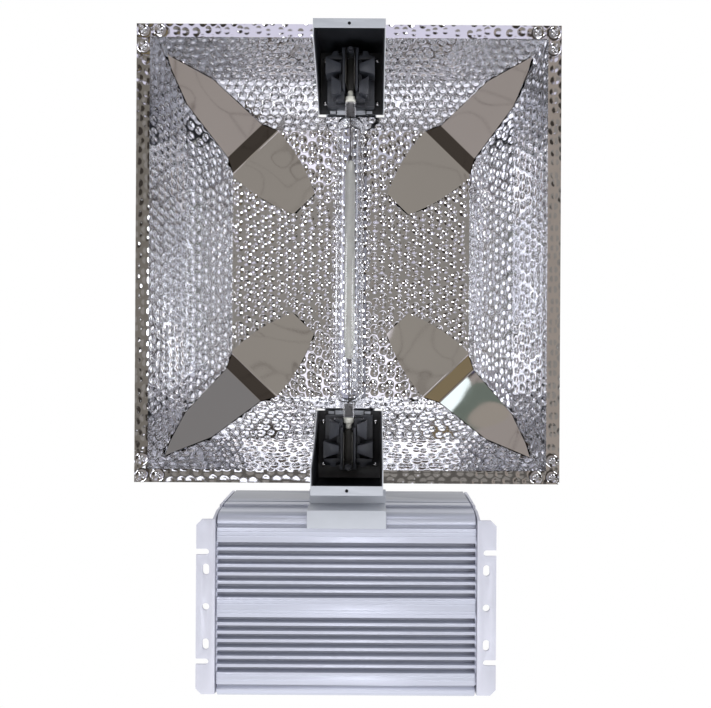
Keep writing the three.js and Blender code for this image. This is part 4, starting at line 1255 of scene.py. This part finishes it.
def sweep(mesh: Mesh, path: Sequence[Vector], radius: float, sides: int) -> None:
    """Adds a round wire along a path.

    Args:
        mesh: the bmesh that it is added to.
        path: the points of its centre line.
        radius: the wire's radius.
        sides: how many faces round it.
    """
    ways = [(b - a).normalized() for a, b in zip(path, path[1:])]
    ring = None
    for number, point in enumerate(path):
        before = ways[max(number - 1, 0)]
        after = ways[min(number, len(ways) - 1)]
        way = (before + after).normalized()
        turn = way.to_track_quat("Z", "Y").to_matrix().to_4x4()
        made = bmesh.ops.create_circle(mesh, cap_ends=number in (0, len(path) - 1), segments=sides,
                                       radius=radius, matrix=Matrix.Translation(point) @ turn)
        edges = once(edge for vert in made["verts"] for edge in vert.link_edges)
        if ring is not None:
            bmesh.ops.bridge_loops(mesh, edges=ring + edges)
        ring = edges
    bmesh.ops.recalc_face_normals(mesh, faces=mesh.faces)


# ---------------------------------------------------------------- studio


@dataclass(frozen=True)
class Patch:
    """One coloured patch of the room that the metal reflects.

    Its place and half sizes are tangents of the angles from straight down, towards +X and +Y.
    """

    place: tuple[float, float]
    size: tuple[float, float]
    colour: Colour
    edge: float = 0.22
    turn_deg: float = 0.0

    def over(self, graph: Graph, spot: Socket, under: Socket) -> Socket:
        """Lays the patch over a colour.

        Args:
            graph: the world's nodes.
            spot: the direction's two tangents.
            under: the colour so far.

        Returns:
            The colour with the patch on it.
        """
        frame = graph.add("ShaderNodeMapping", Vector=spot, Location=(*self.place, 0.0),
                          Rotation=(0.0, 0.0, math.radians(self.turn_deg)), Scale=(*self.size, 1.0))
        frame.vector_type = "TEXTURE"
        reach = graph.add("ShaderNodeVectorMath")
        reach.operation = "LENGTH"
        graph.tree.links.new(frame.outputs["Vector"], reach.inputs[0])
        share = graph.mapped(reach.outputs["Value"], (1.0, 1.0 + self.edge), (1.0, 0.0))
        return graph.mixed(share, under, (*self.colour, 1.0))


@dataclass
class Studio:
    """The camera, floor, sky and lights."""

    middle_y: float
    camera_place: tuple[float, float, float] = (25.1 * MM, 89.8 * MM, -760.0 * MM)
    roll: float = math.radians(0.33)
    shift: tuple[float, float] = (-0.0218, -0.0225)
    floor_z: float = -1.55
    floor_half: float = 300.0
    sky: tuple[tuple[float, Colour], ...] = (
        (0.0, (0.305, 0.286, 0.26)),
        (21.0, (0.285, 0.265, 0.245)),
        (22.0, (0.05, 0.042, 0.036)),
        (44.0, (0.06, 0.05, 0.043)),
        (47.0, (0.31, 0.28, 0.265)),
        (64.6, (0.34, 0.31, 0.30)),
        (66.1, (0.62, 0.62, 0.74)),
        (71.6, (0.62, 0.62, 0.74)),
        (73.0, (0.05, 0.045, 0.042)),
    )
    tilt_start: float = math.radians(2.0)
    tilt_unit: float = math.radians(100.0)
    tilt_lean: float = math.radians(6.0)
    tilt_noise: float = math.radians(4.0)
    window_scale: float = 2.6
    window_dark: Colour = (0.10, 0.10, 0.11)
    window_light: Colour = (1.2, 1.2, 1.32)
    window_tilt: tuple[float, float] = (74.0, 76.0)
    window_gain: tuple[float, float] = (1.3, 0.4)
    patches: tuple[Patch, ...] = (
        Patch((1.20, -1.50), (0.50, 0.60), (0.21, 0.205, 0.21), 0.3),
        Patch((0.0, 2.5), (1.0, 0.9), (1.1, 1.1, 1.2)),
        Patch((0.0, -2.5), (1.0, 0.95), (2.2, 2.2, 2.35)),
        Patch((2.5, 0.0), (0.9, 0.9), (1.1, 1.1, 1.2)),
        Patch((-2.5, 0.0), (0.95, 0.9), (2.5, 2.5, 2.7)),
        Patch((1.27, 1.13), (0.05, 0.17), (0.62, 0.62, 0.80), 0.5, 41.8),
        Patch((-1.43, 1.15), (0.05, 0.17), (0.62, 0.62, 0.80), 0.5, -39.0),
        Patch((-0.85, 0.0), (0.22, 0.45), (0.46, 0.45, 0.54)),
        Patch((0.85, 0.0), (0.20, 0.40), (0.28, 0.28, 0.32)),
        Patch((-0.54, -0.06), (0.11, 0.11), (6.0, 6.0, 6.2)),
        Patch((0.50, -0.02), (0.09, 0.09), (6.0, 6.0, 6.2)),
        Patch((0.02, 0.52), (0.10, 0.10), (7.0, 7.0, 7.2)),
        Patch((-0.05, -0.62), (0.10, 0.09), (7.0, 7.0, 7.2)),
        Patch((-0.17, 0.25), (0.11, 0.05), (1.6, 1.6, 1.75)),
        Patch((-0.015, 0.048), (0.09, 0.042), (1.3, 1.25, 1.4)),
        Patch((-0.085, -0.25), (0.04, 0.036), (1.2, 1.15, 1.3)),
        Patch((0.0, -0.28), (0.05, 0.03), (0.8, 0.8, 0.95)),
        Patch((-0.03, -0.435), (0.30, 0.06), (0.80, 0.77, 0.92)),
        Patch((0.0, 0.195), (0.40, 0.028), (0.12, 0.11, 0.10)),
        Patch((-0.322, -0.10), (0.035, 0.36), (0.20, 0.18, 0.155)),
        Patch((0.257, -0.10), (0.035, 0.36), (0.36, 0.31, 0.27)),
        Patch((-0.48, -0.55), (0.12, 0.28), (0.22, 0.175, 0.105), 0.1, 45.0),
        Patch((-1.80, -1.80), (0.16, 0.50), (0.25, 0.20, 0.12), 0.1, 45.0),
        Patch((-1.655, -1.655), (0.065, 0.50), (0.05, 0.04, 0.03), 0.1, 45.0),
        Patch((-1.545, -1.69), (0.09, 0.075), (1.1, 1.25, 1.3), 0.1, 45.0),
        Patch((-1.39, -1.575), (0.14, 0.09), (0.15, 0.18, 0.16), 0.1, 45.0),
        Patch((-1.33, -1.525), (0.10, 0.06), (0.33, 0.30, 0.27), 0.1, 45.0),
        Patch((-1.49, -1.82), (0.05, 0.045), (0.05, 0.05, 0.18), 0.1, 45.0),
    )

    def camera(self) -> None:
        """The camera below the hood, looking straight up."""
        data = bpy.data.cameras.new("camera")
        data.lens = 36.0
        data.sensor_width = 36.0
        data.shift_x, data.shift_y = self.shift
        camera = bpy.data.objects.new("camera", data)
        x, y, z = self.camera_place
        camera.matrix_world = (
            Matrix.Translation((x, y + self.middle_y, z))
            @ Matrix.Rotation(math.pi, 4, "X")
            @ Matrix.Rotation(self.roll, 4, "Z")
        )
        bpy.context.scene.collection.objects.link(camera)
        bpy.context.scene.camera = camera

    def floor(self) -> None:
        """A plain pale floor well below the fixture, left out of reflections."""
        mesh = bmesh.new()
        bmesh.ops.create_grid(mesh, x_segments=1, y_segments=1, size=self.floor_half,
                              matrix=Matrix.Translation((0.0, 0.0, self.floor_z)))
        data = bpy.data.meshes.new("floor")
        mesh.to_mesh(data)
        mesh.free()
        material = Finish("pale_floor", (0.80, 0.80, 0.80), 0.0, 0.9, 0.02, 0.02, 0.7, 60.0, 0.02).build()
        data.materials.append(material)
        floor = bpy.data.objects.new("floor", data)
        bpy.context.scene.collection.objects.link(floor)
        floor.visible_glossy = False
        floor.visible_transmission = False

    def world(self) -> None:
        """A white sky above, and below it the greys and lights of a room for the hood to reflect."""
        world = bpy.data.worlds.new("studio")
        world.use_nodes = True
        bpy.context.scene.world = world
        graph = Graph(world.node_tree)
        way = graph.add("ShaderNodeTexCoord").outputs["Generated"]
        part = graph.add("ShaderNodeSeparateXYZ", Vector=way).outputs
        depth = graph.maths("MAXIMUM", graph.maths("MULTIPLY", part["Z"], -1.0), 0.02)
        right = graph.maths("DIVIDE", part["X"], depth)
        near = graph.maths("DIVIDE", part["Y"], depth)
        spot = graph.add("ShaderNodeCombineXYZ", X=right, Y=near).outputs["Vector"]
        tilt = graph.maths("ARCCOSINE", graph.maths("MULTIPLY", part["Z"], -1.0), 0.0)
        shift = graph.maths("MULTIPLY", part["Y"], self.tilt_lean)
        uneven = graph.maths("MULTIPLY", graph.noise(way, 3.1, 2.0), self.tilt_noise)
        total = graph.maths("ADD", graph.maths("ADD", tilt, shift), uneven)
        level = graph.maths("DIVIDE", graph.maths("SUBTRACT", total, self.tilt_start), self.tilt_unit)
        colour = graph.ramp(level, [(degrees / 100.0, shade) for degrees, shade in self.sky])
        colour = self.windows(graph, way, level, graph.maths("ADD", part["X"], part["Y"]), colour)
        colour = self.cracks(graph, way, colour)
        for patch in self.patches:
            colour = patch.over(graph, spot, colour)
        above = graph.mapped(part["Z"], (-0.01, 0.04))
        whole = graph.mixed(above, colour, (1.0, 1.0, 1.0, 1.0))
        background = graph.add("ShaderNodeBackground", Color=whole, Strength=1.0)
        graph.add("ShaderNodeOutputWorld", Surface=background.outputs[0])

    def windows(self, graph: Graph, way: Socket, level: Socket, side: Socket, under: Socket) -> Socket:
        """Lays bright and dark panes over the part of the room near the horizon.

        Args:
            graph: the world's nodes.
            way: the direction.
            level: the direction's tilt from straight down, in hundreds of degrees.
            side: the direction's X and Y added, which dims the panes one way.
            under: the colour so far.

        Returns:
            The colour with the panes.
        """
        panes = graph.ramp(graph.noise(way, self.window_scale, 1.0),
                           [(0.44, self.window_dark), (0.52, self.window_light)])
        upper = graph.mapped(level, tuple(degrees / 100.0 for degrees in self.window_tilt))
        colour = graph.mixed(upper, under, panes)
        gain = graph.mapped(side, (-1.1, 1.1), self.window_gain)
        gain = graph.maths("ADD", graph.maths("MULTIPLY", graph.maths("SUBTRACT", gain, 1.0), upper), 1.0)
        return graph.mixed(1.0, colour, gain, "MULTIPLY")

    def cracks(self, graph: Graph, way: Socket, under: Socket) -> Socket:
        """Lays thin wandering dark lines over the room, as smooth sheet shows them."""
        bent = graph.add("ShaderNodeVectorMath")
        bent.operation = "ADD"
        graph.tree.links.new(way, bent.inputs[0])
        wander = graph.add("ShaderNodeTexNoise", Vector=way, Scale=7.0, Detail=1.0).outputs["Color"]
        graph.tree.links.new(wander, bent.inputs[1])
        cells = graph.add("ShaderNodeTexVoronoi", Vector=bent.outputs["Vector"], Scale=5.0)
        cells.feature = "DISTANCE_TO_EDGE"
        lines = graph.ramp(cells.outputs["Distance"], [(0.005, (0.60, 0.58, 0.58)), (0.016, (1.0, 1.0, 1.0))])
        return graph.mixed(1.0, under, lines, "MULTIPLY")

    def light(self, name: str, place: Point, size: float, power: float, tint: Colour) -> None:
        """Adds a square soft light aimed at the fixture.

        Args:
            name: the light's name.
            place: where it is.
            size: the length of its sides.
            power: its power in watts.
            tint: its colour.
        """
        data = bpy.data.lights.new(name, "AREA")
        data.size, data.energy, data.color = size, power, tint
        light = bpy.data.objects.new(name, data)
        aim = Vector((0.0, 0.05, 0.05)) - Vector(place)
        light.matrix_world = Matrix.Translation(place) @ aim.to_track_quat("-Z", "Y").to_matrix().to_4x4()
        light.visible_camera = False
        light.visible_glossy = False
        bpy.context.scene.collection.objects.link(light)

    def build(self) -> None:
        """Sets up the whole studio."""
        self.camera()
        self.floor()
        self.world()
        self.light("key", (-0.5, 1.5, -1.0), 0.5, 20.0, (1.0, 0.99, 0.98))
        self.light("fill", (1.2, 0.2, -1.1), 0.6, 8.0, (0.96, 0.97, 1.0))
        bpy.context.scene.view_settings.view_transform = "Standard"


def main() -> None:
    """Builds every part of the fixture in order."""
    logging.basicConfig(level=logging.INFO, format="%(name)s %(message)s")
    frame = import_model()
    shop = Shop(frame, Paint())
    hood = Hood(shop)
    Studio(hood.middle_y).build()
    hood.build()
    CornerMirrors(shop, hood).build()
    for end in End:
        HolderEnd(shop, hood.middle_y, end).build()
    Lamp(shop, hood.middle_y).build()
    Ballast(shop).build()
    Carrier(shop).build()


if __name__ == "__main__":
    main()
